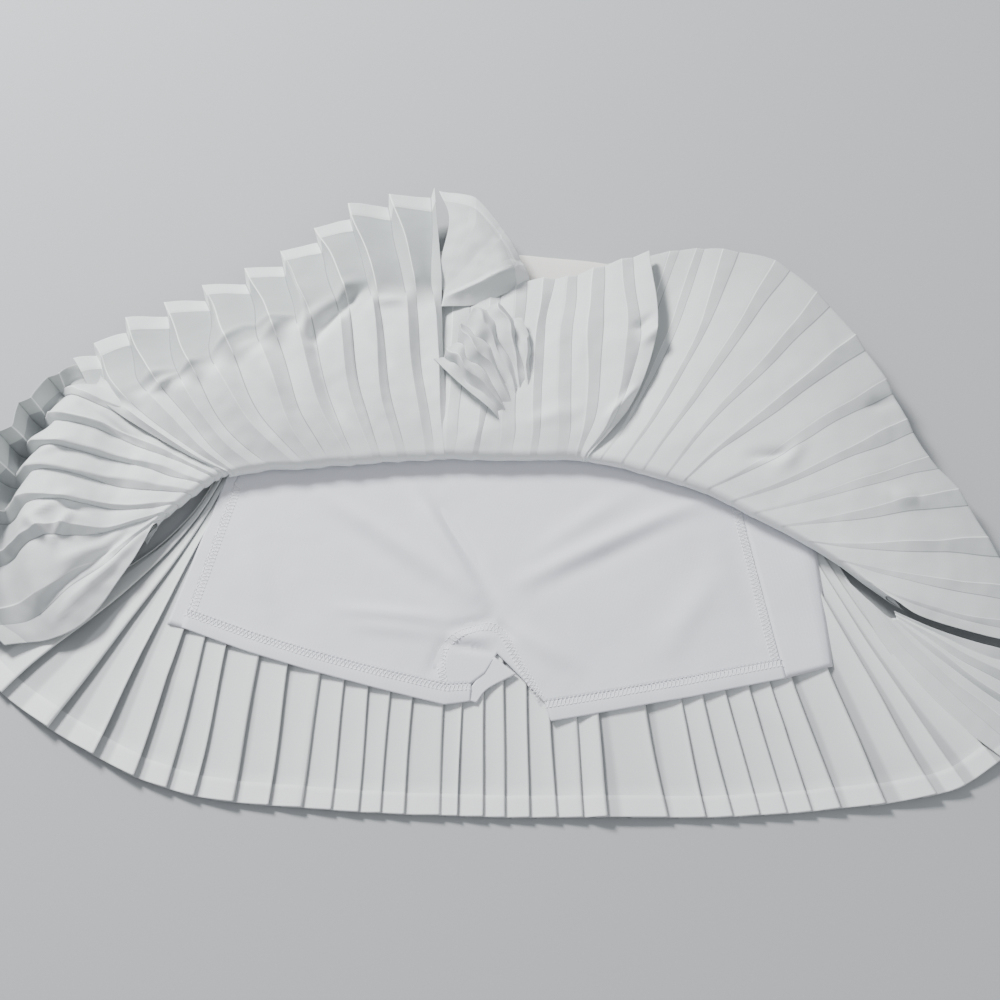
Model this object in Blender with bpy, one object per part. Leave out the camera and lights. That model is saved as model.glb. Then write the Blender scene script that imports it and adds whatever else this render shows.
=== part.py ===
"""Pleated tennis skirt with built-in shorts, lying on its back with its front thrown up over the waist.

Metres, +Z up, X along the waist, Y from the hem of the back towards the waistband.
Each pleated stretch is a wall laid through ribs: a rib is the line that one pleat follows from the
fold or the waist seam to the hem. A table has one row for each guide rib, and the pleats between
two guide ribs follow both.
"""
import math
from collections import namedtuple

import bpy
import numpy as np

# driving sizes
GAP = 0.0003                # left between two pieces at a seam
PLEAT_WALL = 0.0016         # woven pleating, with the turned-in layers of its creases
KNIT_WALL = 0.0012          # stretch jersey of the shorts
HEM_WALL = 0.0018           # jersey turned up once
BAND_WALL = 0.0030          # elastic inside two layers of jersey

WAIST_HALF = 0.158          # half of the flat waist
WAIST_SEAM_Y = 0.135        # seam between band and pleating, at x = 0
WAIST_TOP_Y = 0.205         # upper edge of the band, at x = 0
WAIST_SLOPE = -0.07         # the band lies turned by this much
WAIST_BEND = -0.50          # and bent by this much for each metre from its middle

BACK_FLAT = 0.0014          # height of a back pleat at its covered side
BACK_EDGE = 0.0034          # height of a back pleat at its free edge
SHORTS_BACK_Z = 0.0040      # underside of the shorts' back
SHORTS_FRONT_Z = 0.0056     # underside of the shorts' front
FALL_Z = 0.0094             # underside of the front's first stretch
FALL_THICK = 0.0032         # its closed pleats
ROLL = 0.0050               # radius of the roll where the front turns back over itself
ROLL_INSET = 0.8            # how far under the roll its lower end lies, for one radius
TUCK_INSET = 0.009          # how far a hem is turned in under its pleats

WOVEN = ("white woven polyester", (0.80, 0.81, 0.81, 1.0), 0.72)
KNIT = ("white jersey", (0.80, 0.80, 0.84, 1.0), 0.80)
ELASTIC = ("white elastic band", (0.83, 0.82, 0.80, 1.0), 0.78)

Rib = namedtuple("Rib", "pleat foot_x foot_y mid_x mid_y hem_x hem_y "
                        "foot_z crest_at crest_z dip_at dip_z hem_z relief_foot relief_crest relief_hem")

# left lobe of the thrown-up front, from the left end of the fold to its right edge
LEFT_LOBE = [
    Rib(0, -0.194, 0.0145, -0.250, 0.062, -0.306, 0.107, .0095, .50, .030, .72, .016, .017, .002, .006, -.009),
    Rib(1, -0.181, 0.014, -0.232, 0.078, -0.279, 0.138, .0095, .46, .036, .66, .023, .015, .003, .008, -.014),
    Rib(3, -0.141, 0.012, -0.184, 0.090, -0.222, 0.167, .0095, .48, .042, .62, .030, .014, .004, .010, -.015),
    Rib(5, -0.105, 0.013, -0.138, 0.105, -0.166, 0.196, .0095, .50, .044, .64, .032, .016, .004, .010, -.015),
    Rib(7, -0.073, 0.017, -0.098, 0.125, -0.115, 0.235, .0095, .50, .042, .66, .032, .018, .004, .010, -.015),
    Rib(8, -0.057, 0.019, -0.074, 0.130, -0.084, 0.245, .0095, .50, .040, .66, .031, .020, .004, .009, -.012),
    Rib(9, -0.0425, 0.022, -0.053, 0.132, -0.050, 0.250, .0095, .50, .038, .66, .030, .022, .004, .008, -.008),
]

# left side: the pleats run out over a rim, down into the open side of the skirt and up to its hem
LEFT_SIDE = [
    Rib(0, -0.1945, 0.0136, -0.2508, 0.0610, -0.3070, 0.1060, .0095, .50, .030, .72, .016, .017, .0005, .006, -.009),
    Rib(1, -0.1970, 0.0100, -0.262, 0.030, -0.336, 0.074, .0095, .62, .026, .85, .007, .026, .0005, .008, -.008),
    Rib(2, -0.1985, 0.0075, -0.268, 0.012, -0.354, 0.044, .0095, .66, .026, .88, .007, .028, .0005, .009, -.008),
    Rib(4, -0.2005, 0.0030, -0.270, -0.016, -0.372, -0.004, .0095, .66, .025, .88, .007, .026, .002, .010, -.008),
    Rib(6, -0.2035, -0.0010, -0.268, -0.044, -0.380, -0.052, .0095, .62, .024, .86, .0075, .020, .0005, .009, -.008),
    Rib(7, -0.2060, -0.0045, -0.262, -0.062, -0.376, -0.086, .0095, .58, .020, .84, .008, .014, .0005, .008, -.008),
    Rib(8, -0.2080, -0.0070, -0.256, -0.076, -0.366, -0.108, .0095, .56, .015, .84, .009, .011, .0005, .006, -.006),
]

# the left lobe's right end turns round on itself and down to the band
LOBE_TURN = [
    Rib(0, -0.0450, 0.166, -0.0455, 0.210, -0.0465, 0.250, .0180, .40, .031, .75, .027, .022, .002, .004, -.006),
    Rib(1, -0.0430, 0.167, -0.0360, 0.208, -0.0200, 0.241, .0180, .40, .031, .75, .028, .022, .002, .004, -.007),
    Rib(2, -0.0400, 0.165, -0.0190, 0.196, 0.0030, 0.222, .0180, .40, .030, .75, .026, .020, .002, .004, -.007),
    Rib(3, -0.0390, 0.162, -0.0120, 0.180, 0.0130, 0.199, .0180, .40, .028, .75, .022, .016, .002, .004, -.005),
]

# middle of the thrown-up front, which laps over the right lobe
MIDDLE = [
    Rib(-2, -0.0400, 0.0235, -0.0450, 0.090, -0.0390, 0.152, .0095, .35, .028, .75, .027, .028, .003, .005, .004),
    Rib(0, -0.026, 0.024, -0.016, 0.092, 0.016, 0.156, .0095, .35, .026, .75, .024, .026, .004, .006, .004),
    Rib(2, -0.010, 0.024, 0.010, 0.092, 0.034, 0.157, .0095, .40, .028, .75, .026, .027, .004, .007, .005),
    Rib(4, 0.018, 0.024, 0.040, 0.096, 0.062, 0.167, .0095, .45, .032, .75, .030, .029, .004, .008, .006),
    Rib(6, 0.043, 0.025, 0.075, 0.098, 0.088, 0.180, .0095, .50, .036, .75, .034, .030, .004, .008, .006),
    Rib(7, 0.058, 0.028, 0.102, 0.096, 0.106, 0.188, .0095, .40, .042, .75, .038, .031, .003, .006, .003),
]

# right lobe, from under the middle round to the right side
RIGHT_LOBE = [
    Rib(0, 0.0650, 0.022, 0.092, 0.108, 0.1180, 0.192, .0095, .50, .0185, .80, .0185, .022, .002, .005, .006),
    Rib(2, 0.0990, 0.014, 0.135, 0.108, 0.1650, 0.198, .0095, .50, .028, .80, .026, .024, .004, .008, .010),
    Rib(4, 0.1310, 0.004, 0.178, 0.092, 0.2100, 0.186, .0095, .50, .032, .80, .029, .024, .004, .009, .011),
    Rib(6, 0.1560, -0.008, 0.210, 0.060, 0.2480, 0.142, .0095, .50, .032, .80, .029, .024, .004, .009, .011),
    Rib(8, 0.1800, -0.022, 0.232, 0.028, 0.2760, 0.098, .0095, .50, .030, .80, .027, .023, .004, .009, .011),
    Rib(10, 0.2060, -0.035, 0.254, -0.004, 0.3060, 0.036, .0095, .50, .028, .80, .025, .021, .004, .009, .010),
    Rib(12, 0.2290, -0.052, 0.278, -0.044, 0.3400, -0.026, .0095, .50, .024, .80, .022, .018, .003, .008, .010),
    Rib(13, 0.2470, -0.066, 0.304, -0.066, 0.3640, -0.066, .0095, .50, .022, .80, .020, .017, .003, .007, .005),
    Rib(14, 0.2640, -0.080, 0.322, -0.098, 0.3820, -0.112, .0095, .50, .020, .80, .018, .016, .002, .005, .002),
]

# right side: pleats raised between the back and the right lobe
RIGHT_SIDE = [
    Rib(-1, 0.2690, -0.0885, 0.3240, -0.108, 0.3840, -0.122, .0058, .50, .0080, .80, .0070, .0060, .001, .002, .002),
    Rib(0, 0.2700, -0.0915, 0.3260, -0.128, 0.3900, -0.146, .0060, .50, .0085, .80, .0080, .0075, .001, .003, .004),
    Rib(1, 0.2690, -0.0940, 0.3170, -0.136, 0.3780, -0.164, .0056, .50, .0080, .80, .0075, .0070, .001, .003, .004),
    Rib(2, 0.2675, -0.0965, 0.3080, -0.142, 0.3600, -0.180, .0054, .50, .0072, .80, .0066, .0062, .001, .002, .002),
]

# back of the skirt, from the left side to the right: where each guide pleat leaves the waist seam,
# passes the side of the shorts and reaches the hem
BackRib = namedtuple("BackRib", "pleat waist_x side_x side_y hem_x hem_y lift")
BACK = [
    BackRib(0, -0.1570, -0.2130, -0.004, -0.3640, -0.118, 0.0000),
    BackRib(1, -0.1494, -0.2090, -0.006, -0.3380, -0.148, 0.0008),
    BackRib(2, -0.1417, -0.2050, -0.008, -0.3080, -0.1675, 0.0040),
    BackRib(3, -0.1341, -0.2000, -0.010, -0.2740, -0.1880, 0.0045),
    BackRib(4, -0.1254, -0.1920, -0.012, -0.2430, -0.2050, 0.0040),
    BackRib(6, -0.1072, -0.1660, -0.014, -0.2000, -0.2160, 0.0015),
    BackRib(9, -0.0795, -0.1090, -0.014, -0.1300, -0.2235, 0.0),
    BackRib(13, -0.0383, -0.0500, -0.014, -0.0627, -0.2280, 0.0),
    BackRib(18, 0.0096, 0.0150, -0.014, 0.0200, -0.2300, 0.0),
    BackRib(21, 0.0402, 0.0560, -0.014, 0.0700, -0.2300, 0.0018),
    BackRib(23, 0.0613, 0.0950, -0.014, 0.1346, -0.2300, 0.0),
    BackRib(26, 0.0891, 0.1390, -0.020, 0.1870, -0.2275, 0.0),
    BackRib(28, 0.1082, 0.1640, -0.026, 0.2229, -0.2240, 0.0005),
    BackRib(29, 0.1197, 0.1870, -0.032, 0.2543, -0.2210, 0.0015),
    BackRib(30, 0.1302, 0.2080, -0.044, 0.2860, -0.2150, 0.0015),
    BackRib(31, 0.1398, 0.2240, -0.056, 0.3050, -0.2090, 0.0010),
    BackRib(32, 0.1484, 0.2380, -0.068, 0.3290, -0.1935, 0.0005),
    BackRib(33, 0.1570, 0.2500, -0.078, 0.3500, -0.1780, 0.0),
]

# soft folds pressed into the jersey: from one end to the other, how high and how wide
Fold = namedtuple("Fold", "x0 y0 x1 y1 height width")
SHORTS_FOLDS = [
    Fold(-0.062, 0.012, -0.010, -0.078, 0.0016, 0.010),
    Fold(-0.118, 0.004, -0.022, -0.070, 0.0013, 0.011),
    Fold(0.140, -0.002, 0.022, -0.060, 0.0018, 0.012),
    Fold(0.100, 0.006, 0.030, -0.035, 0.0010, 0.010),
    Fold(-0.110, -0.086, -0.036, -0.094, 0.0018, 0.010),
    Fold(-0.036, -0.104, 0.002, -0.100, 0.0030, 0.009),
    Fold(0.010, -0.100, 0.050, -0.128, 0.0020, 0.010),
    Fold(-0.180, -0.030, -0.160, -0.086, 0.0012, 0.012),
    Fold(0.150, -0.060, 0.110, -0.118, 0.0014, 0.014),
]

# lower edge of the shorts' front above its leg hems, from the left side round the crotch to the right
ShortsEdge = namedtuple("ShortsEdge", "waist_x side_x side_y edge_x edge_y hem_x hem_y")
SHORTS_EDGE = [
    ShortsEdge(-0.1427, -0.1818, 0.013, -0.2055, -0.0880, -0.2083, -0.0995),
    ShortsEdge(-0.1187, -0.1560, 0.013, -0.1690, -0.1040, -0.1730, -0.1165),
    ShortsEdge(-0.0919, -0.1200, 0.013, -0.1290, -0.1170, -0.1330, -0.1290),
    ShortsEdge(-0.0632, -0.0820, 0.013, -0.0820, -0.1300, -0.0850, -0.1425),
    ShortsEdge(-0.0345, -0.0440, 0.013, -0.0360, -0.1410, -0.0375, -0.1545),
    ShortsEdge(-0.0211, -0.0280, 0.013, -0.0230, -0.1370, None, None),
    ShortsEdge(-0.0096, -0.0120, 0.013, -0.0060, -0.1220, None, None),
    ShortsEdge(0.0019, 0.0030, 0.013, 0.0040, -0.1130, None, None),
    ShortsEdge(0.0134, 0.0190, 0.013, 0.0170, -0.1330, None, None),
    ShortsEdge(0.0268, 0.0360, 0.013, 0.0300, -0.1530, 0.0340, -0.1660),
    ShortsEdge(0.0536, 0.0720, 0.013, 0.0780, -0.1450, 0.0820, -0.1575),
    ShortsEdge(0.0804, 0.1080, 0.010, 0.1270, -0.1360, 0.1310, -0.1485),
    ShortsEdge(0.1034, 0.1400, 0.004, 0.1620, -0.1290, 0.1650, -0.1415),
    ShortsEdge(0.1187, 0.1700, -0.006, 0.1902, -0.1235, 0.1928, -0.1360),
]
LEFT_HEM_ROWS = (0, 5)      # rows of SHORTS_EDGE that carry the left leg hem
RIGHT_HEM_ROWS = (9, 14)


# shared tools
def clear_scene():
    for thing in list(bpy.data.objects):
        bpy.data.objects.remove(thing, do_unlink=True)


def make_material(finish):
    name, colour, roughness = finish
    material = bpy.data.materials.get(name)
    if material is None:
        material = bpy.data.materials.new(name)
        material.use_nodes = True
        shader = material.node_tree.nodes["Principled BSDF"]
        shader.inputs["Base Color"].default_value = colour
        shader.inputs["Roughness"].default_value = roughness
        shader.inputs["Metallic"].default_value = 0.0
    return material


def closed_wall(name, top, bottom, finish):
    """One closed body between two grids of points, [row][column][xyz]."""
    rows, columns = top.shape[:2]
    points = np.concatenate([top.reshape(-1, 3), bottom.reshape(-1, 3)])
    under = rows * columns

    def at(row, column):
        return row * columns + column

    faces = []
    for row in range(rows - 1):
        for column in range(columns - 1):
            quad = [at(row, column), at(row + 1, column), at(row + 1, column + 1), at(row, column + 1)]
            faces.append(quad)
            faces.append([under + corner for corner in reversed(quad)])
    rim = [at(0, column) for column in range(columns)]
    rim += [at(row, columns - 1) for row in range(1, rows)]
    rim += [at(rows - 1, column) for column in range(columns - 2, -1, -1)]
    rim += [at(row, 0) for row in range(rows - 2, 0, -1)]
    for here, there in zip(rim, rim[1:] + rim[:1]):
        faces.append([here, there, under + there, under + here])

    mesh = bpy.data.meshes.new(name)
    mesh.from_pydata([tuple(point) for point in points], [], faces)
    mesh.update()
    mesh.materials.append(make_material(finish))
    solid = bpy.data.objects.new(name, mesh)
    bpy.context.collection.objects.link(solid)
    return solid


def grid_normals(grid):
    """Normals at a grid's points, averaged over the faces round each point."""
    along = grid[1:, :-1] - grid[:-1, 1:]
    across = grid[1:, 1:] - grid[:-1, :-1]
    face = np.cross(along, across)
    total = np.zeros_like(grid)
    for row_shift in (0, 1):
        for column_shift in (0, 1):
            rows = slice(row_shift, row_shift + face.shape[0])
            columns = slice(column_shift, column_shift + face.shape[1])
            total[rows, columns] += face
    return total / np.linalg.norm(total, axis=2, keepdims=True)


def between_rows(table, key, wanted):
    """A row's values at any place along a table, on a smooth curve through its rows."""
    keys = np.array([getattr(row, key) for row in table], dtype=float)
    values = np.array([[float(cell) for cell in row] for row in table])
    slopes = np.gradient(values, keys, axis=0)
    index = int(np.clip(np.searchsorted(keys, wanted, side="right") - 1, 0, len(keys) - 2))
    span = keys[index + 1] - keys[index]
    t = (wanted - keys[index]) / span
    h00, h10 = 2 * t**3 - 3 * t**2 + 1, t**3 - 2 * t**2 + t
    h01, h11 = -2 * t**3 + 3 * t**2, t**3 - t**2
    mixed = (h00 * values[index] + h10 * span * slopes[index]
             + h01 * values[index + 1] + h11 * span * slopes[index + 1])
    return type(table[0])(*mixed)


def ease(t):
    t = min(max(t, 0.0), 1.0)
    return t * t * (3 - 2 * t)


def through(knots, t):
    """Height at t on an eased line through (place, height) knots."""
    for (t0, z0), (t1, z1) in zip(knots, knots[1:]):
        if t <= t1:
            return z0 + (z1 - z0) * ease((t - t0) / (t1 - t0))
    return knots[-1][1]


def curve_through(start, middle, end, t):
    """A parabola that passes the middle point at t = 0.5."""
    control = 2 * middle - 0.5 * (start + end)
    return (1 - t)**2 * start + 2 * t * (1 - t) * control + t * t * end


# the thrown-up front
LIFT_END = 0.10             # share of a rib that the roll takes to come up


def rib_point(rib, t):
    foot = np.array([rib.foot_x, rib.foot_y])
    middle = np.array([rib.mid_x, rib.mid_y])
    hem = np.array([rib.hem_x, rib.hem_y])
    plan = curve_through(foot, middle, hem, t)
    knots = [(0.0, rib.foot_z + ROLL), (LIFT_END, rib.foot_z + 2 * ROLL), (rib.crest_at, rib.crest_z),
             (rib.dip_at, rib.dip_z), (1.0, rib.hem_z)]
    knots[1] = (LIFT_END, min(knots[1][1], rib.crest_z))
    height = through(knots, t)
    if t < LIFT_END:
        height = knots[0][1] + (knots[1][1] - knots[0][1]) * math.sqrt(1 - (1 - t / LIFT_END)**2)
    return np.array([plan[0], plan[1], height])


def rib_relief(rib, t):
    if t < rib.crest_at:
        return rib.relief_foot + (rib.relief_crest - rib.relief_foot) * ease(t / rib.crest_at)
    return rib.relief_crest + (rib.relief_hem - rib.relief_crest) * ease((t - rib.crest_at) / (1 - rib.crest_at))


def rolled_under(rib, t, turn, drop, inset):
    """A point past the end of a rib, on the underside of the roll there."""
    end = rib_point(rib, t)
    heading = rib_point(rib, 0.06) - rib_point(rib, 0.0) if t == 0 else rib_point(rib, 0.94) - rib_point(rib, 1.0)
    heading[2] = 0
    heading /= np.linalg.norm(heading)
    return end + heading * inset - np.array([0, 0, drop]) * turn


def pleated_wall(name, table, stations, fold_share=(0.5, 0.5), tuck=0.0, roll_foot=True):
    """The wall of one pleated stretch: two crease lines for each pleat, one up and one down."""
    first, last = table[0].pleat, table[-1].pleat
    lines = []
    for pleat in range(int(first), int(last)):
        lines.append((pleat, 0.0, 1.0))
        lines.append((pleat, 1.0, -1.0))
    lines.append((int(last), 0.0, 1.0))
    low_share, hem_share = fold_share

    rows = []
    if roll_foot:
        rows.append("under")
    rows += list(stations)
    if tuck:
        rows.append("tuck")

    grid = np.zeros((len(rows), len(lines), 3))
    relief = np.zeros((len(rows), len(lines)))
    for row, station in enumerate(rows):
        t = {"under": 0.0, "tuck": 1.0}.get(station, station)
        for column, (pleat, partner, sign) in enumerate(lines):
            share = low_share + (hem_share - low_share) * ease(t)
            rib = between_rows(table, "pleat", min(pleat + partner * share, last))
            if station == "under":
                point = rolled_under(rib, 0.0, 1.0, ROLL, ROLL * ROLL_INSET)
            elif station == "tuck":
                point = rolled_under(rib, 1.0, 1.0, min(tuck, rib.hem_z - FALL_Z), TUCK_INSET)
            else:
                point = rib_point(rib, station)
            grid[row, column] = point
            relief[row, column] = 0.5 * sign * rib_relief(rib, t) * (0.0 if station in FLAT_ROWS else 1.0)
    grid = grid + grid_normals(grid) * relief[..., None]
    facing = grid_normals(grid)
    if facing[len(rows) // 2, :, 2].mean() < 0:
        grid = grid[:, ::-1]
        facing = -facing[:, ::-1]
    return closed_wall(name, grid, grid - facing * PLEAT_WALL, WOVEN)


STATIONS = (0.0, 0.03, 0.10, 0.22, 0.36, 0.50, 0.60, 0.72, 0.86, 1.0)
SIDE_STATIONS = (0.0, 0.03, 0.12, 0.3, 0.45, 0.6, 0.7, 0.8, 0.88, 1.0)
FLAT_ROWS = ("under", "tuck", 0.0, 0.03)    # no relief where a wall turns under


def build_front():
    pleated_wall("skirt_front_left", LEFT_LOBE, STATIONS, (0.5, 0.85))
    pleated_wall("skirt_side_left", LEFT_SIDE, SIDE_STATIONS, (0.5, 0.5))
    pleated_wall("skirt_front_turn", LOBE_TURN, (0.0, 0.2, 0.4, 0.6, 0.8, 1.0), (0.5, 0.85), roll_foot=False)
    pleated_wall("skirt_front_middle", MIDDLE, STATIONS, (0.5, 0.5), tuck=0.012)
    pleated_wall("skirt_front_right", RIGHT_LOBE, STATIONS, (0.5, 0.6), tuck=0.014)
    pleated_wall("skirt_side_right", RIGHT_SIDE, (0.0, 0.25, 0.5, 0.75, 1.0), (0.5, 0.5), roll_foot=False)


def build_crushed_pleats():
    """Pleats crushed into a rosette where the left lobe turns into the middle."""
    centre = np.array([-0.012, 0.104, 0.0])
    turns, rings = 22, (0.006, 0.018, 0.030)
    lean = (0.046, 0.041, 0.036)
    grid = np.zeros((len(rings), turns + 1, 3))
    for ring, (radius, height) in enumerate(zip(rings, lean)):
        for step in range(turns + 1):
            angle = math.radians(-150) + math.radians(285) * step / turns
            ripple = (0.0012 + 0.10 * radius) * (1 if step % 2 else -1)
            grid[ring, step] = centre + np.array([radius * math.cos(angle), radius * 1.05 * math.sin(angle),
                                                  height + ripple])
    grid = grid[:, ::-1] if grid_normals(grid)[1, :, 2].mean() < 0 else grid
    facing = grid_normals(grid)
    closed_wall("skirt_front_crush", grid, grid - facing * PLEAT_WALL, WOVEN)


# the back
BACK_STATIONS = (0.0, 0.14, 0.30, 0.46, 0.62, 0.80, 1.0)


def seam_y(x):
    return WAIST_SEAM_Y + WAIST_SLOPE * x + WAIST_BEND * x * x


def back_point(rib, t):
    waist = np.array([rib.waist_x, seam_y(rib.waist_x) - GAP])
    side = np.array([rib.side_x, rib.side_y])
    hem = np.array([rib.hem_x, rib.hem_y])
    split = 0.42
    if t < split:
        share = t / split
        bent = 0.5 * (waist + side) + (side - hem) * 0.06 * 4 * share * (1 - share) * 0.5
        return (1 - share)**2 * waist + 2 * share * (1 - share) * bent + share**2 * side
    return side + (hem - side) * (t - split) / (1 - split)


def build_back():
    """A row of lapped pleats: each rises to its free edge and drops to the next."""
    first, last = int(BACK[0].pleat), int(BACK[-1].pleat)
    columns = [(float(first), 0.0)]
    for pleat in range(first, last):
        columns += [(pleat + 0.94, 1.0), (pleat + 1.0, 0.0)]
    grid = np.zeros((len(BACK_STATIONS), len(columns), 3))
    for row, t in enumerate(BACK_STATIONS):
        for column, (pleat, edge) in enumerate(columns):
            rib = between_rows(BACK, "pleat", pleat)
            x, y = back_point(rib, t)
            height = BACK_FLAT + (BACK_EDGE - BACK_FLAT) * edge * ease(0.3 + t)
            height += max(rib.lift, 0.0) * edge * ease((t - 0.6) / 0.4)
            grid[row, column] = (x, y, height)
    grid = grid if grid_normals(grid)[2, :, 2].mean() > 0 else grid[:, ::-1]
    floor = grid.copy()
    floor[..., 2] = 0.0
    closed_wall("skirt_back", grid, floor, WOVEN)


# the shorts
def fold_height(x, y, folds):
    total = 0.0
    for fold in folds:
        start, end = np.array([fold.x0, fold.y0]), np.array([fold.x1, fold.y1])
        run = end - start
        t = float(np.clip(np.dot(np.array([x, y]) - start, run) / np.dot(run, run), 0.0, 1.0))
        away = np.linalg.norm(np.array([x, y]) - start - t * run)
        total += fold.height * math.exp(-(away / fold.width)**2) * math.sin(math.pi * (0.12 + 0.76 * t))
    return total


def jersey_height(x, y):
    open_share = ease((0.010 - y) / 0.030)
    return fold_height(x, y, SHORTS_FOLDS) * (0.35 + 0.65 * open_share)


def shorts_point(edge, t):
    """From the waist seam, t = 0, past the hip, t = 0.45, to the leg hem's seam, t = 1."""
    waist = np.array([edge.waist_x, seam_y(edge.waist_x) - GAP])
    side = np.array([edge.side_x, edge.side_y])
    hem = np.array([edge.edge_x, edge.edge_y])
    return waist + (side - waist) * t / 0.45 if t < 0.45 else side + (hem - side) * (t - 0.45) / 0.55


def flat_piece(name, plan, base, thickness, finish, lift=None):
    """A wall that lies flat over plan[row][column], raised where the cloth is folded."""
    raised = np.array([[lift(x, y) if lift else 0.0 for x, y in row] for row in plan])
    top = np.dstack([plan, base + thickness + raised])
    if grid_normals(top)[..., 2].mean() < 0:
        top, raised = top[:, ::-1], raised[:, ::-1]
    bottom = top.copy()
    bottom[..., 2] = base + raised
    closed_wall(name, top, bottom, finish)


def finer(table, parts):
    """Rows added between a table's rows, so that folds have points to follow."""
    rows = [row for row in table]
    fine = []
    for here, there in zip(rows, rows[1:]):
        for step in range(parts):
            share = step / parts
            fine.append(type(here)(*[a + (b - a) * share if a is not None and b is not None else a
                                     for a, b in zip(here, there)]))
    return fine + [rows[-1]]


def build_shorts():
    stations = np.linspace(0, 1, 12)
    plan = np.array([[shorts_point(edge, t) for edge in finer(SHORTS_EDGE, 2)] for t in stations])
    flat_piece("shorts_front", plan, SHORTS_FRONT_Z, KNIT_WALL, KNIT, jersey_height)

    back = plan.copy()
    back[..., 0] *= 0.985
    flat_piece("shorts_back", back[::2, ::2], SHORTS_BACK_Z, KNIT_WALL, KNIT)

    for name, (start, end) in (("leg_hem_left", LEFT_HEM_ROWS), ("leg_hem_right", RIGHT_HEM_ROWS)):
        rows = finer(SHORTS_EDGE[start:end], 2)
        seam = np.array([[row.edge_x, row.edge_y] for row in rows])
        hem = np.array([[row.hem_x, row.hem_y] for row in rows])
        down = (hem - seam) / np.linalg.norm(hem - seam, axis=1, keepdims=True)
        strip = np.array([seam + down * GAP, 0.5 * (seam + hem), hem])
        flat_piece(name, strip, SHORTS_FRONT_Z, HEM_WALL, KNIT, jersey_height)

    # side panels: narrow on the left, where most of it has rolled to the back, wide on the right
    left, right = SHORTS_EDGE[0], SHORTS_EDGE[-1]
    for name, edge, outer in (("shorts_side_left", left, ((-0.1570, -0.1965, -0.2290), (0.013, -0.1010))),
                              ("shorts_side_right", right, ((0.1530, 0.2210, 0.2256), (-0.020, -0.1270)))):
        (waist_x, side_x, hem_x), (side_y, hem_y) = outer
        inner_hem = edge._replace(edge_x=edge.hem_x, edge_y=edge.hem_y)
        outer_edge = ShortsEdge(waist_x, side_x, side_y, hem_x, hem_y, None, None)
        away = GAP if outer_edge.waist_x > 0 else -GAP
        inner = np.array([shorts_point(inner_hem, t) + np.array([away, 0.0]) for t in stations])
        outside = np.array([shorts_point(outer_edge, t) for t in stations])
        panel = np.array([inner, 0.5 * (inner + outside), outside]).transpose(1, 0, 2)
        flat_piece(name, panel, SHORTS_FRONT_Z, KNIT_WALL, KNIT, jersey_height)


def build_gusset():
    """The diamond let in between the legs: it shows inside the left leg's opening."""
    left = np.array([[-0.0350, -0.1590], [-0.0215, -0.1405], [-0.0040, -0.1245]])
    right = np.array([[-0.0180, -0.1530], [-0.0020, -0.1375], [0.0130, -0.1330]])
    plan = np.array([left, 0.5 * (left + right), right]).transpose(1, 0, 2)
    flat_piece("shorts_gusset", plan, SHORTS_BACK_Z + KNIT_WALL + GAP, 0.0011 - GAP, KNIT)


# the band and the hidden stretch
def build_waistband():
    rise = np.linspace(0, 1, 4)
    for name, half, base in (("waistband_back", WAIST_HALF, 0.0),
                             ("waistband_front", WAIST_HALF * 0.99, BAND_WALL + GAP)):
        across = np.linspace(-half, half, 25)
        plan = np.array([[[x, seam_y(x) + (WAIST_TOP_Y - WAIST_SEAM_Y) * t] for x in across] for t in rise])
        flat_piece(name, plan, base, BAND_WALL, ELASTIC)


def build_hidden_fall():
    """The front between the waist seam and its fold: closed pleats under the lobes, rounded at the rim."""
    feet = [(rib.foot_x, rib.foot_y, rib) for rib in LEFT_LOBE + MIDDLE[1:] + RIGHT_LOBE]
    inset = ROLL * 1.2 + 0.004
    fold = []
    for foot_x, foot_y, rib in feet:
        heading = np.array([rib.mid_x - foot_x, rib.mid_y - foot_y])
        heading /= np.linalg.norm(heading)
        fold.append(np.array([foot_x, foot_y]) + heading * inset)
    fold = np.array(fold)
    share = np.linspace(-0.97, 0.97, len(fold)) * WAIST_HALF
    waist = np.array([[x, seam_y(x) - 0.001] for x in share])
    plan = np.array([waist + (fold - waist) * t for t in (0.0, 0.03, 0.3, 0.6, 0.9, 1.0)])
    top = np.dstack([plan, np.full(plan.shape[:2], FALL_Z + FALL_THICK)])
    bottom = np.dstack([plan, np.full(plan.shape[:2], FALL_Z)])
    rim = 0.0012
    top[0, :, 2] -= rim
    top[-1, :, 2] -= rim
    top[:, 0, 2] -= rim
    top[:, -1, 2] -= rim
    if grid_normals(top)[2, :, 2].mean() < 0:
        top, bottom = top[:, ::-1], bottom[:, ::-1]
    closed_wall("skirt_front_fall", top, bottom, WOVEN)


def centre_on_origin():
    """The origin goes to the middle of the whole part's box, on the surface it lies on."""
    solids = list(bpy.data.objects)
    corners = np.array([tuple(vertex.co) for solid in solids for vertex in solid.data.vertices])
    low, high = corners.min(axis=0), corners.max(axis=0)
    middle = 0.5 * (low + high)
    for solid in solids:
        for vertex in solid.data.vertices:
            vertex.co.x -= middle[0]
            vertex.co.y -= middle[1]
            vertex.co.z -= low[2]
        solid.data.update()
    print("moved by", -middle[0], -middle[1], -low[2], "box", high - low)


clear_scene()
build_back()
build_shorts()
build_gusset()
build_waistband()
build_hidden_fall()
build_front()
build_crushed_pleats()
centre_on_origin()
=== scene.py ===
import math
from collections import namedtuple

import bpy
import numpy as np
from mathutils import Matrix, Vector, noise


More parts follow.
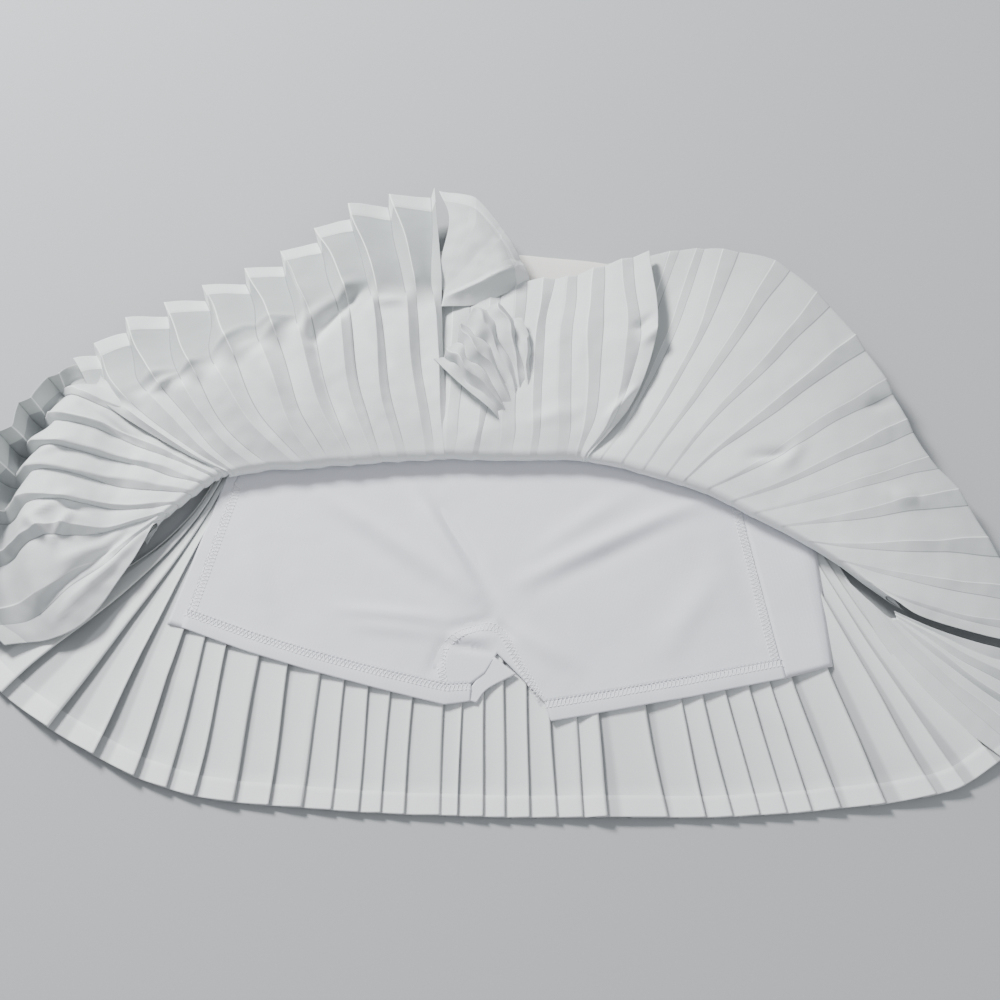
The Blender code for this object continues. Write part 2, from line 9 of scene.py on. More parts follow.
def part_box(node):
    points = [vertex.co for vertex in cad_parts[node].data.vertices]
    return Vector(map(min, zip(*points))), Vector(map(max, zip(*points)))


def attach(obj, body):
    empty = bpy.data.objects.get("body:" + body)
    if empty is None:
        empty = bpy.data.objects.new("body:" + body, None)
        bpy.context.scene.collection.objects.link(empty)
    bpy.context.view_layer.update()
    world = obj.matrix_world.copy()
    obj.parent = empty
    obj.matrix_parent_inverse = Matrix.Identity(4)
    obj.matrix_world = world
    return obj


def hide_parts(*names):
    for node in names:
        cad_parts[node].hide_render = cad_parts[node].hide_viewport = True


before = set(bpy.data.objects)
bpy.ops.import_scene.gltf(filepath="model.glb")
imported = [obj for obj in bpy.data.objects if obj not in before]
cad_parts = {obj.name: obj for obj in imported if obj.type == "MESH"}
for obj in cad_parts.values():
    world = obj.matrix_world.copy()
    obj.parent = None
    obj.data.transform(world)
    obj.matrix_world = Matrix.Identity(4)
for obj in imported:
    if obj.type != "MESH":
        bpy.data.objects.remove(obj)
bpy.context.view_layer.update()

# Sizes are in metres. Plan places are measured from the middle of the layout, X along the waist and Y
# away from the hem of the back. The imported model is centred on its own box, so the layout is moved with it.
layout = {
    "waistTopAboveMiddle": 0.20745,   # highest point of the band, from the layout's middle
}
bandLow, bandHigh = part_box("waistband_back")
shift = np.array([(bandLow.x + bandHigh.x) / 2, bandHigh.y - layout["waistTopAboveMiddle"], 0.0])
print("frame loaded, layout moved by", [round(float(value), 5) for value in shift])


def hexColour(code):
    # sRGB hex to the linear values that a shader wants
    values = [int(code[i:i + 2], 16) / 255 for i in (1, 3, 5)]
    linear = [v / 12.92 if v <= 0.04045 else ((v + 0.055) / 1.055) ** 2.4 for v in values]
    return (*linear, 1.0)


def ease(t):
    t = np.clip(t, 0.0, 1.0)
    return t * t * (3 - 2 * t)


def hermiteStep(t, span, here, there, slopeHere, slopeThere):
    return ((2 * t**3 - 3 * t**2 + 1) * here + (t**3 - 2 * t**2 + t) * span * slopeHere
            + (3 * t**2 - 2 * t**3) * there + (t**3 - t**2) * span * slopeThere)


def hermite(keys, values, wanted):
    # smooth curve through values at keys; values may have any trailing shape
    keys = np.asarray(keys, float)
    values = np.asarray(values, float)
    slopes = np.gradient(values, keys, axis=0)
    index = np.clip(np.searchsorted(keys, wanted, side="right") - 1, 0, len(keys) - 2)
    span = keys[index + 1] - keys[index]
    t = (wanted - keys[index]) / span
    extra = (...,) + (None,) * (values.ndim - 1)
    return hermiteStep(t[extra], span[extra], values[index], values[index + 1],
                       slopes[index], slopes[index + 1])


def gridNormals(grid):
    along = grid[1:, :-1] - grid[:-1, 1:]
    across = grid[1:, 1:] - grid[:-1, :-1]
    face = np.cross(across, along)
    total = np.zeros_like(grid)
    for rowShift in (0, 1):
        for columnShift in (0, 1):
            rows = slice(rowShift, rowShift + face.shape[0])
            columns = slice(columnShift, columnShift + face.shape[1])
            total[rows, columns] += face
    length = np.linalg.norm(total, axis=2, keepdims=True)
    return total / np.maximum(length, 1e-12)


def foldHeights(plan, folds):
    # height of soft troughs and ridges at plan points, each along its own short line
    total = np.zeros(plan.shape[:-1])
    for fold in folds:
        start, end = np.array([fold.x0, fold.y0]), np.array([fold.x1, fold.y1])
        run = end - start
        t = np.clip(((plan - start) @ run) / (run @ run), 0.0, 1.0)
        away = np.linalg.norm(plan - start - t[..., None] * run, axis=-1)
        total += fold.height * np.exp(-(away / fold.width) ** fold.power) * np.sin(np.pi * (0.1 + 0.8 * t))
    return total


def crumple(grid, size, seed):
    # gentle uneven bulges, from -1 to 1, at every point of a grid
    flat = grid.reshape(-1, 3) / size + seed
    values = [noise.noise(Vector(point)) for point in flat.tolist()]
    return np.array(values).reshape(grid.shape[:-1])


def closedSheet(name, top, thickness, uv, material, tone=None):
    # one closed shell of cloth: the grid, its underside, and a strip round the rim; tone holds how much
    # cloth lies beneath each point together with painted shade, from 0 to 1, and its crease, from -1 for
    # painted shade in a valley to 1 for a painted highlight on a ridge
    rows, columns = top.shape[:2]
    normals = gridNormals(top)
    bottom = top - normals * thickness
    points = np.concatenate([(face + shift).reshape(-1, 3) for face in (top, bottom)])
    count = rows * columns
    index = np.arange(count).reshape(rows, columns)
    corners = [index[:-1, :-1], index[:-1, 1:], index[1:, 1:], index[1:, :-1]]
    upper = np.stack(corners, axis=-1).reshape(-1, 4)
    lower = upper[:, ::-1] + count
    rim = np.concatenate([index[0, :], index[1:, -1], index[-1, -2::-1], index[-2:0:-1, 0]])
    after = np.roll(rim, -1)
    side = np.stack([after, rim, rim + count, after + count], axis=-1)
    faces = np.concatenate([upper, lower, side])

    mesh = bpy.data.meshes.new(name)
    mesh.from_pydata(points.tolist(), [], faces.tolist())
    uvAll = np.concatenate([uv.reshape(-1, 2), uv.reshape(-1, 2)])
    layer = mesh.uv_layers.new(name="cloth")
    layer.data.foreach_set("uv", uvAll[faces.reshape(-1)].astype(np.float32).reshape(-1))
    if tone is not None:
        toneAll = np.concatenate([tone.reshape(-1, 2), tone.reshape(-1, 2)])
        layer = mesh.uv_layers.new(name="tone")
        layer.data.foreach_set("uv", toneAll[faces.reshape(-1)].astype(np.float32).reshape(-1))
    mesh.polygons.foreach_set("use_smooth", np.ones(len(faces), dtype=bool))
    mesh.materials.append(material)
    mesh.update()
    sheet = bpy.data.objects.new(name, mesh)
    bpy.context.scene.collection.objects.link(sheet)
    return sheet


def addNode(tree, kind, settings=None, inputs=None, links=None):
    # one node with its settings, its input values and the sockets that feed it
    node = tree.nodes.new(kind)
    for key, value in (settings or {}).items():
        setattr(node, key, value)
    for key, value in (inputs or {}).items():
        node.inputs[key].default_value = value
    for key, socket in (links or {}).items():
        tree.links.new(socket, node.inputs[key])
    return node


weave = {"threadSpacing": 0.0011,      # real threads are 0.25 mm apart, drawn coarser so that they show
         "bumpDistance": 0.00004, "hemDepth": 0.0145}
knit = {"stitchSpacing": 0.0013,       # real wales are 0.5 mm apart, drawn coarser so that they show
        "bumpDistance": 0.00004}


def newMaterial(name):
    material = bpy.data.materials.new(name)
    material.use_nodes = True
    tree = material.node_tree
    shader = tree.nodes["Principled BSDF"]
    return material, tree, shader


def wovenPolyester(name, colour, thinAndShadeColour, hemColour, ridgeHighlight, valleyShade):
    # heat-set plain-weave polyester: matt, cool white, slightly see-through, so that it is greyer where
    # it lies single and paler where the hem is double; the same grey also carries painted shade in hollows,
    # on shaded tiers and across lapped strips; ridges get a painted highlight towards white, valleys a
    # painted shade towards dark grey
    material, tree, shader = newMaterial(name)
    place = addNode(tree, "ShaderNodeUVMap", {"uv_map": "cloth"})
    split = addNode(tree, "ShaderNodeSeparateXYZ", links={0: place.outputs[0]})
    hem = addNode(tree, "ShaderNodeMapRange", {"interpolation_type": "SMOOTHSTEP"},
                  {"From Min": weave["hemDepth"] - 0.0002, "From Max": weave["hemDepth"] + 0.0002,
                   "To Min": 1.0, "To Max": 0.0}, {"Value": split.outputs[1]})
    objectPlace = addNode(tree, "ShaderNodeTexCoord")
    cloud = addNode(tree, "ShaderNodeTexNoise", inputs={"Scale": 22.0, "Detail": 3.0, "Roughness": 0.55},
                    links={"Vector": objectPlace.outputs["Object"]})
    base = addNode(tree, "ShaderNodeMix", {"data_type": "RGBA"},
                   {"A": hexColour(colour[0]), "B": hexColour(colour[1])}, {"Factor": cloud.outputs["Fac"]})
    tonePlace = addNode(tree, "ShaderNodeUVMap", {"uv_map": "tone"})
    tone = addNode(tree, "ShaderNodeSeparateXYZ", links={0: tonePlace.outputs[0]})
    # thin cloth is greyer where little lies beneath; this mix also carries painted shade
    layeredAndShaded = addNode(tree, "ShaderNodeMix", {"data_type": "RGBA"}, {"A": hexColour(thinAndShadeColour)},
                      {"Factor": tone.outputs[0], "B": base.outputs["Result"]})
    mixed = addNode(tree, "ShaderNodeMix", {"data_type": "RGBA"}, {"B": hexColour(hemColour)},
                    {"Factor": hem.outputs[0], "A": layeredAndShaded.outputs["Result"]})
    # painted highlight: creases on ridges mixed towards white
    ridge = addNode(tree, "ShaderNodeMapRange", None,
                    {"From Min": 0.15, "From Max": 1.0, "To Max": ridgeHighlight}, {"Value": tone.outputs[1]})
    highlighted = addNode(tree, "ShaderNodeMix", {"data_type": "RGBA"}, {"B": hexColour("#FFFFFF")},
                       {"Factor": ridge.outputs[0], "A": mixed.outputs["Result"]})
    # painted shade: creases in valleys mixed towards dark grey #6E7275
    valley = addNode(tree, "ShaderNodeMapRange", None,
                     {"From Min": -0.15, "From Max": -1.0, "To Max": valleyShade},
                     {"Value": tone.outputs[1]})
    shaded = addNode(tree, "ShaderNodeMix", {"data_type": "RGBA"}, {"B": hexColour("#6E7275")},
                     {"Factor": valley.outputs[0], "A": highlighted.outputs["Result"]})
    tree.links.new(shaded.outputs["Result"], shader.inputs["Base Color"])
    scale = 1.0 / weave["threadSpacing"] / 2
    heights = []
    for direction in ("X", "Y"):
        wave = addNode(tree, "ShaderNodeTexWave", {"bands_direction": direction},
                       {"Scale": scale / 3.1831, "Distortion": 0.6, "Detail": 1.0, "Detail Scale": 2.0},
                       {"Vector": place.outputs[0]})
        heights.append(wave.outputs["Fac"])
    threads = addNode(tree, "ShaderNodeMath", {"operation": "MULTIPLY"},
                      links={0: heights[0], 1: heights[1]})
    bump = addNode(tree, "ShaderNodeBump", inputs={"Strength": 0.5, "Distance": weave["bumpDistance"]},
                   links={"Height": threads.outputs[0]})
    tree.links.new(bump.outputs[0], shader.inputs["Normal"])
    shader.inputs["Roughness"].default_value = 0.66
    shader.inputs["Sheen Weight"].default_value = 0.12
    shader.inputs["Sheen Roughness"].default_value = 0.5
    shader.inputs["Specular IOR Level"].default_value = 0.35
    return material


def stretchJersey(name, colour, roughness):
    # knitted nylon and elastane: matt, a soft lavender white, with fine ribs along the wales
    material, tree, shader = newMaterial(name)
    place = addNode(tree, "ShaderNodeUVMap", {"uv_map": "cloth"})
    objectPlace = addNode(tree, "ShaderNodeTexCoord")
    cloud = addNode(tree, "ShaderNodeTexNoise", inputs={"Scale": 14.0, "Detail": 3.0, "Roughness": 0.5},
                    links={"Vector": objectPlace.outputs["Object"]})
    base = addNode(tree, "ShaderNodeMix", {"data_type": "RGBA"},
                   {"A": hexColour(colour[0]), "B": hexColour(colour[1])}, {"Factor": cloud.outputs["Fac"]})
    tree.links.new(base.outputs["Result"], shader.inputs["Base Color"])
    scale = 1.0 / knit["stitchSpacing"] / 2
    wale = addNode(tree, "ShaderNodeTexWave", {"bands_direction": "X"},
                   {"Scale": scale / 3.1831, "Distortion": 0.4, "Detail": 1.0, "Detail Scale": 2.0},
                   {"Vector": place.outputs[0]})
    bump = addNode(tree, "ShaderNodeBump", inputs={"Strength": 0.5, "Distance": knit["bumpDistance"]},
                   links={"Height": wale.outputs["Fac"]})
    tree.links.new(bump.outputs[0], shader.inputs["Normal"])
    shader.inputs["Roughness"].default_value = roughness
    shader.inputs["Sheen Weight"].default_value = 0.2
    shader.inputs["Sheen Roughness"].default_value = 0.5
    shader.inputs["Specular IOR Level"].default_value = 0.3
    return material


def sewingThread(name, colour):
    # spun polyester thread: slightly shinier than the cloth, so that stitches catch the light
    material, tree, shader = newMaterial(name)
    objectPlace = addNode(tree, "ShaderNodeTexCoord")
    twist = addNode(tree, "ShaderNodeTexNoise", inputs={"Scale": 1800.0, "Detail": 1.0},
                    links={"Vector": objectPlace.outputs["Object"]})
    tint = addNode(tree, "ShaderNodeMix", {"data_type": "RGBA"},
                   {"A": hexColour(colour[0]), "B": hexColour(colour[1])}, {"Factor": twist.outputs["Fac"]})
    tree.links.new(tint.outputs["Result"], shader.inputs["Base Color"])
    shader.inputs["Roughness"].default_value = 0.5
    return material


# one cloth in three copies: the plain one; a darker copy with painted shade for the hollow at the left side
# and the crushed fan; and a copy for the lapped back with a lighter painted-shade grey and milder painted
# shade in its valleys
wovenCloth = wovenPolyester("plainWeavePolyester", ("#E3E7E7", "#E9ECEC"), "#A8AEAE", "#E2E5E5", 1.0, 0.85)
sideShadedCloth = wovenPolyester("plainWeavePolyesterShaded", ("#E1E5E5", "#E8EBEB"), "#7C8183", "#B9BDBD",
                           0.7, 0.85)
backShadedCloth = wovenPolyester("plainWeavePolyesterLappedShaded", ("#E3E6E5", "#E8EAEA"), "#CDD0D1", "#F0F2F2",
                           0.7, 0.42)
jerseyCloth = stretchJersey("stretchJersey", ("#E2E3EA", "#E7E8EE"), 0.8)
bandCloth = stretchJersey("coveredElastic", ("#E6E3DF", "#EAE7E3"), 0.75)
thread = sewingThread("polyesterThread", ("#FFFFFF", "#F3F3F7"))
print("materials made")


# A pleat is two creases: A, on the whole number, and B, a share of the way to the next A. Relief is the
# height of A over B, so a change of sign turns mountains into valleys. A row of a table is one A crease.
Rib = namedtuple("Rib", "pleat footX footY lowX lowY highX highY hemX hemY lowZ highZ dipZ hemZ "
                        "shareFoot shareHigh shareHem reliefFoot reliefLow reliefHigh reliefHem")
Fold = namedtuple("Fold", "x0 y0 x1 y1 height width power")

pleating = {
    "thickness": 0.00042,
    "hemThicker": 0.00022,     # the turned-up hem stands this much proud
    "sharpness": 0.045,        # share of a face that a crease bends over
    "roll": 0.0050,            # radius where the front turns back over itself
    "footZ": 0.0095,           # underside of that roll
    "turnOver": 0.0022,        # radius of a hem that is tucked under
}


sheetDefaults = {
    "places": (0.0, 0.27, 0.55, 1.0),      # where foot, low, high and hem lie along a pleat
    "columns": (7, 4), "stations": 70,     # mesh columns across each of the two faces, and mesh rows
    "hem": "turned",                       # or "tucked" beneath its own edge, or "plain"
    "foot": "rolled",                      # or "open"
    "footZ": pleating["footZ"], "dipAt": 0.8,   # height of the foot, and where dipZ holds
    "flipWidth": 0.035,                    # how long a pleat takes to change from low to high relief
    "tuck": 0.010, "belly": 0.06,          # cloth turned under at the foot, and bulge of each face
    "folds": (), "seed": 1,
    "unevenness": 0.0005, "wander": 0.05,  # bulges in metres, and wander of the creases in pleats
    "layers": (1.0, 1.0, 0.4, 0.2),        # cloth beneath, with painted shade, at foot, low, high and hem
    "tierWidth": None,                     # half width of a quick change of layers and painted shade at the high place
    "faceLayers": (1.0, 1.0),              # share of those layers in a valley and on a ridge: painted shade across each face
    "creaseAt": 0.003,                     # relief at which a ridge's painted highlight and a valley's painted shade are full
    "reliefScale": (1.0, 1.0, 1.0, 1.0), "shareScale": (1.0, 1.0, 1.0),
    "lapAt": None,                         # where a face comes out from under its neighbour, marked by a painted shadow line
    "cloth": wovenCloth,
}


class PleatedSheet:
    def __init__(self, name, table, **settings):
        self.name = name
        self.keys = [row.pleat for row in table]
        self.values = np.array([[float(cell) for cell in row] for row in table])
        for key, value in {**sheetDefaults, **settings}.items():
            setattr(self, key, value)
        self.radius = pleating["roll"] if self.foot == "rolled" else 0.0
        self.layerPlaces = self.places
        if self.tierWidth is not None:
            high = self.places[2]
            self.layerPlaces = (0.0, high - self.tierWidth, high + self.tierWidth, 1.0)

    def ribs(self, pleats):
        found = hermite(self.keys, self.values, np.clip(pleats, self.keys[0], self.keys[-1]))
        return Rib(*np.moveaxis(found, -1, 0))

    def middle(self, pleats, t):
        # the smooth surface that the pleats zigzag about
        pleats, t = np.broadcast_arrays(pleats, t)
        rib = self.ribs(pleats)
        inside = np.clip(t, 0.0, 1.0)
        knots = np.stack([np.stack([rib.footX, rib.footY], -1), np.stack([rib.lowX, rib.lowY], -1),
                          np.stack([rib.highX, rib.highY], -1), np.stack([rib.hemX, rib.hemY], -1)])
        plan = self.along(self.places, knots, inside)
        top = self.footZ + 2 * self.radius
        levels = np.stack([np.zeros_like(rib.lowZ) + top, rib.lowZ, rib.highZ, rib.dipZ, rib.hemZ])
        height = self.along((*self.places[:3], self.dipAt, 1.0), levels[..., None], inside)[..., 0]
        if self.radius:
            away = np.linalg.norm(plan - knots[0], axis=-1)
            near = np.minimum(away, self.radius)
            rise = np.sqrt(np.maximum(self.radius**2 - (self.radius - near)**2, 0.0))
            height = height - self.radius + rise
            heading = knots[1] - knots[0]
            heading /= np.linalg.norm(heading, axis=-1, keepdims=True)
            angle = np.clip(-t, 0.0, 1.0) * math.pi / 2
            under = self.radius * (1 - np.cos(angle)) + np.clip(-t - 1, 0.0, 1.0) * self.tuck
            plan = plan + np.where(t < 0, under, 0.0)[..., None] * heading
            height = np.where(t < 0, self.footZ + self.radius * (1 - np.sin(angle)), height)
        return np.concatenate([plan, height[..., None]], axis=-1)

    def along(self, places, knots, t):
        # smooth curve through each rib's own knots; knots[place, row, column, ...]
        keys = np.asarray(places, float)
        slopes = np.gradient(knots, keys, axis=0)
        index = np.clip(np.searchsorted(keys, t, side="right") - 1, 0, len(keys) - 2)
        span = keys[index + 1] - keys[index]
        local = ((t - keys[index]) / span)[..., None]
        rows, cols = np.indices(t.shape)
        here, there = knots[index, rows, cols], knots[index + 1, rows, cols]
        slopeHere, slopeThere = slopes[index, rows, cols], slopes[index + 1, rows, cols]
        span = span[..., None]
        return hermiteStep(local, span, here, there, slopeHere, slopeThere)

    def relief(self, rib, t):
        high = self.places[2]
        foot, low, crest, hem = [value * scale for value, scale in zip(
            (rib.reliefFoot, rib.reliefLow, rib.reliefHigh, rib.reliefHem), self.reliefScale)]
        below = foot + (low - foot) * ease(t / (high - self.flipWidth))
        above = crest + (hem - crest) * ease((t - high) / (1 - high))
        turn = ease((t - high + self.flipWidth) / (2 * self.flipWidth))
        return (below + (above - below) * turn) * np.where(t < 0, 1 + 0.6 * np.clip(t, -1, 0), 1.0)

    def share(self, rib, t):
        high = self.places[2]
        foot, crest, hem = [value * scale for value, scale in zip(
            (rib.shareFoot, rib.shareHigh, rib.shareHem), self.shareScale)]
        below = foot + (crest - foot) * ease(t / high)
        return np.where(t < high, below, crest + (hem - crest) * ease((t - high) / (1 - high)))

    def faceColumns(self):
        # (pleat, which face, how far across it); extra columns hug each crease
        first, last = int(self.keys[0]), int(self.keys[-1])
        sharp = pleating["sharpness"]
        found = []
        for pleat in range(first, last):
            for face, count in enumerate(self.columns):
                across = [0.0, sharp] + list(np.linspace(0, 1, count + 1)[1:-1]) + [1 - sharp]
                if self.lapAt and face == 1:
                    across = sorted(across + [self.lapAt + past for past in (-0.03, 0.02, 0.07, 0.15)])
                found += [(pleat, face, place) for place in across]
        return found + [(last, 0, 0.0)]

    def stationRows(self, pleat):
        # places along each pleat: fine over the roll, then even, and two close rows at the top of the hem
        foot = self.middle(pleat[None, :], np.array([[0.0], [0.01]]))
        speed = np.linalg.norm(foot[1] - foot[0], axis=-1) / 0.01
        hemEnds = self.middle(pleat[None, :], np.array([[0.97], [1.0]]))
        hemSpeed = np.linalg.norm(hemEnds[1] - hemEnds[0], axis=-1) / 0.03
        rows = []
        if self.radius:
            rows += [np.full(len(pleat), value) for value in (-2.0, -1.0, -0.75, -0.5, -0.25, 0.0)]
            for step in range(1, 6):
                rows.append(self.radius * (1 - math.cos(step * math.pi / 10)) / np.maximum(speed, 0.05))
            start = rows[-1]
        else:
            start = np.zeros(len(pleat))
            rows.append(start)
        hemTop = 1 - weave["hemDepth"] / hemSpeed if self.hem == "turned" else np.full(len(pleat), 0.985)
        for step in range(1, self.stations + 1):
            rows.append(start + (hemTop - start) * step / self.stations)
        if self.hem == "turned":
            rows.append(1 - (weave["hemDepth"] - 0.0005) / hemSpeed)
            rows += [1 - weave["hemDepth"] / hemSpeed * share for share in (0.75, 0.5, 0.25, 0.06)]
        rows.append(np.ones(len(pleat)))
        return np.stack(rows)

    def build(self):
        columns = self.faceColumns()
        pleat = np.array([float(column[0]) for column in columns])
        face = np.array([column[1] for column in columns])
        across = np.array([column[2] for column in columns])
        random = np.random.default_rng(self.seed)
        first, last = int(self.keys[0]), int(self.keys[-1])
        phases = random.uniform(0, 2 * math.pi, (last - first + 2, 4))
        strength = 1 + random.uniform(-0.22, 0.22, (last - first + 2, 2))[:, 0]
        t = self.stationRows(pleat)
        pleatNumber = (pleat.astype(int) - first)[None, :]
        wave = np.clip(t, 0, 1)

        def wandering(number, slow, quick, phase):
            slowWave = np.sin(2 * np.pi * wave * slow + phases[number, phase])
            quickWave = np.sin(2 * np.pi * wave * quick + phases[number, phase + 1])
            return self.wander * (slowWave + 0.6 * quickWave) * ease(wave * 5)

        wanderA = wandering(pleatNumber, 1.3, 3.1, 0)
        wanderNext = wandering(np.minimum(pleatNumber + 1, last - first), 1.3, 3.1, 0)
        wanderB = wandering(pleatNumber, 1.7, 2.7, 2)
        rib = self.ribs(pleat[None, :] + 0 * t)
        share = self.share(rib, t) + wanderB
        isFirst = (face == 0)[None, :]
        placeA = pleat[None, :] + np.where(pleatNumber == 0, 0.0, wanderA)
        placeNext = pleat[None, :] + 1 + np.where(pleatNumber + 1 == last - first, 0.0, wanderNext)
        placeB = pleat[None, :] + share
        local = across[None, :]
        where = np.where(isFirst, placeA + (placeB - placeA) * local, placeB + (placeNext - placeB) * local)
        where = np.where(pleat[None, :] == last, last, where)
        sign = np.where(isFirst, 1 - 2 * local, 2 * local - 1)
        bow = np.sin(np.pi * local) * self.belly

        rib = self.ribs(where)
        relief = self.relief(rib, t)
        height = 0.5 * relief * strength[pleatNumber] * (sign + bow)
        # crease tone: painted highlight along ridges, painted shade along valleys
        onCrease = np.isin(local, (0.0, 1.0)) & (pleat[None, :] != last) & (pleat[None, :] != first)
        crease = onCrease * sign * np.clip(relief / self.creaseAt, -1.0, 1.0) * ease(t * 12)
        if self.lapAt:   # painted shadow: a strip is darkest where it comes out from under its neighbour, and the face hidden beneath is darkest of all
            fade = np.interp(local - self.lapAt, (-0.03, 0.02, 0.10), (1.0, 0.9, 0.0))
            crease = crease - np.where(isFirst, 1.0, fade)
        # how much cloth lies beneath, together with painted shade along each pleat and across each face
        layersAndShade = np.interp(t, self.layerPlaces, self.layers)
        layersAndShade = layersAndShade * np.interp(sign, (-1.0, 1.0), self.faceLayers)
        step = 0.02
        sideways = self.middle(where + step, t) - self.middle(where - step, t)
        onward = self.middle(where, t + 0.004) - self.middle(where, t - 0.004)
        facing = np.cross(sideways, onward)
        facing /= np.maximum(np.linalg.norm(facing, axis=-1, keepdims=True), 1e-12)
        facing *= np.sign(facing[..., 2].mean())
        grid = self.middle(where, t) + facing * height[..., None]
        if self.hem == "turned":
            lastRows = 6
            raised = np.zeros(t.shape)
            raised[-lastRows:] = pleating["hemThicker"]
            grid = grid + facing * raised[..., None]
        grid[..., 2] += foldHeights(grid[..., :2], self.folds) * ease(t * 8 + 0.2)
        uneven = self.unevenness * (crumple(grid, 0.024, self.seed) + 0.4 * crumple(grid, 0.009, self.seed))
        grid = grid + facing * (uneven * ease(t * 6))[..., None]
        tone = np.stack([np.broadcast_to(part, grid.shape[:2]) for part in (layersAndShade, crease)], axis=-1)
        if self.hem == "tucked":
            grid = self.tuckUnder(grid)
            tone = np.concatenate([tone, np.repeat(tone[-1:], len(grid) - len(tone), axis=0)])
        grid[..., 2] = np.maximum(grid[..., 2], 0.0006)
        uv = self.clothPlaces(grid)
        return closedSheet(self.name, grid, pleating["thickness"], uv, self.cloth, tone)

    def clothPlaces(self, grid):
        # distance over the pleated cloth, and distance from the hem, at every point
        lengths = np.linalg.norm(np.diff(grid, axis=0), axis=-1)
        fromHem = np.concatenate([np.cumsum(lengths[::-1], axis=0)[::-1], np.zeros((1, grid.shape[1]))])
        if self.hem != "turned":
            fromHem = fromHem + 3 * weave["hemDepth"]
        widths = np.linalg.norm(np.diff(grid[int(len(grid) * 0.7)], axis=0), axis=-1)
        overCloth = np.concatenate([[0.0], np.cumsum(widths)])
        self.size = (float(overCloth[-1]), float(fromHem[0].mean()))
        return np.stack([np.broadcast_to(overCloth, grid.shape[:2]), fromHem], axis=-1)

    def tuckUnder(self, grid):
        # the hem turned back beneath its own edge, parallel to the cloth above it
        radius = pleating["turnOver"]
        outward = grid[-1] - grid[-3]
        outward[:, 2] = 0
        outward /= np.maximum(np.linalg.norm(outward, axis=-1, keepdims=True), 1e-12)
        rows = []
        for step in range(1, 6):
            angle = math.pi * step / 5
            offset = outward * radius * math.sin(angle)
            offset[:, 2] = -radius * (1 - math.cos(angle))
            rows.append(grid[-1] + offset)
        inner = rows[-1] - outward * self.tuck
        rows.append(inner)
        return np.concatenate([grid, np.stack(rows)])


def addPiece(sheetObject, node):
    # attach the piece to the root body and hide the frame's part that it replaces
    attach(sheetObject, "root")
    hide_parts(node)


frontLeft = {
    "node": "skirt_front_left",
    # the upper tier, past the high place, is drawn greyer: thinner cloth and painted shade
    "sheet": dict(stations=96, seed=3, columns=(7, 4), flipWidth=0.060, unevenness=0.0009, wander=0.03,
                  layers=(1.0, 1.0, 0.25, 0.1), tierWidth=0.035, reliefScale=(.25, .6, .8, .9),
                  creaseAt=0.0014),
    "ribs": [
        Rib(1, -.192, .012, -.225, .026, -.276, .057, -.311, .104, .024, .030, .020, .015,
            .60, .60, .85, -.002, -.004, .005, .009),
        Rib(2, -.189, .012, -.219, .028, -.265, .064, -.297, .116, .026, .032, .021, .015,
            .60, .60, .88, -.002, -.006, .008, .013),
        Rib(3, -.184, .013, -.209, .034, -.243, .074, -.276, .136, .028, .036, .023, .015,
            .62, .60, .90, -.003, -.008, .010, .015),
        Rib(4, -.163, .017, -.192, .040, -.218, .080, -.247, .150, .030, .040, .026, .015,
            .74, .55, .91, -.004, -.009, .010, .015),
        Rib(5, -.137, .018, -.167, .048, -.192, .097, -.220, .165, .032, .042, .028, .015,
            .50, .62, .92, -.004, -.010, .011, .015),
        Rib(6, -.120, .020, -.143, .056, -.160, .112, -.191, .178, .034, .043, .030, .016,
            .76, .56, .92, -.004, -.010, .011, .015),
        Rib(7, -.102, .021, -.122, .064, -.137, .127, -.164, .194, .034, .044, .031, .017,
            .70, .66, .92, -.005, -.010, .012, .015),
        Rib(8, -.084, .023, -.100, .070, -.110, .139, -.139, .213, .034, .043, .031, .018,
            .66, .80, .93, -.004, -.009, .012, .015),
        Rib(9, -.066, .024, -.079, .074, -.090, .148, -.114, .234, .034, .042, .031, .020,
            .66, .70, .90, -.004, -.008, .010, .015),
        Rib(10, -.046, .025, -.054, .078, -.062, .151, -.083, .243, .031, .036, .030, .022,
            .60, .70, .90, -.004, -.008, .008, .013),
        Rib(11, -.036, .026, -.039, .072, -.043, .152, -.050, .249, .028, .031, .029, .023,
            .60, .70, .90, -.003, -.006, .006, .009),
    ],
    "folds": [   # creases pressed across the pleats where the cloth buckles
        Fold(-.096, .158, -.136, .108, -.0060, .0045, 2.0),
        Fold(-.106, .158, -.144, .116, .0035, .0050, 2.0),
        Fold(-.070, .142, -.090, .141, .0030, .0035, 2.0),
        Fold(-.186, .098, -.152, .128, .0022, .0040, 2.0),
        Fold(-.262, .078, -.222, .092, .0025, .0040, 2.0),
        Fold(-.150, .060, -.172, .090, .0025, .0060, 2.0),
        Fold(-.128, .082, -.110, .048, -.0022, .0045, 2.0),
        Fold(-.094, .122, -.078, .088, -.0022, .0040, 2.0),
        Fold(-.252, .067, -.215, .093, .0030, .0030, 2.0),
        Fold(-.208, .099, -.185, .122, .0028, .0030, 2.0),
        Fold(-.185, .122, -.150, .128, .0030, .0030, 2.0),
        Fold(-.148, .151, -.137, .102, .0034, .0032, 2.0),
    ],
}

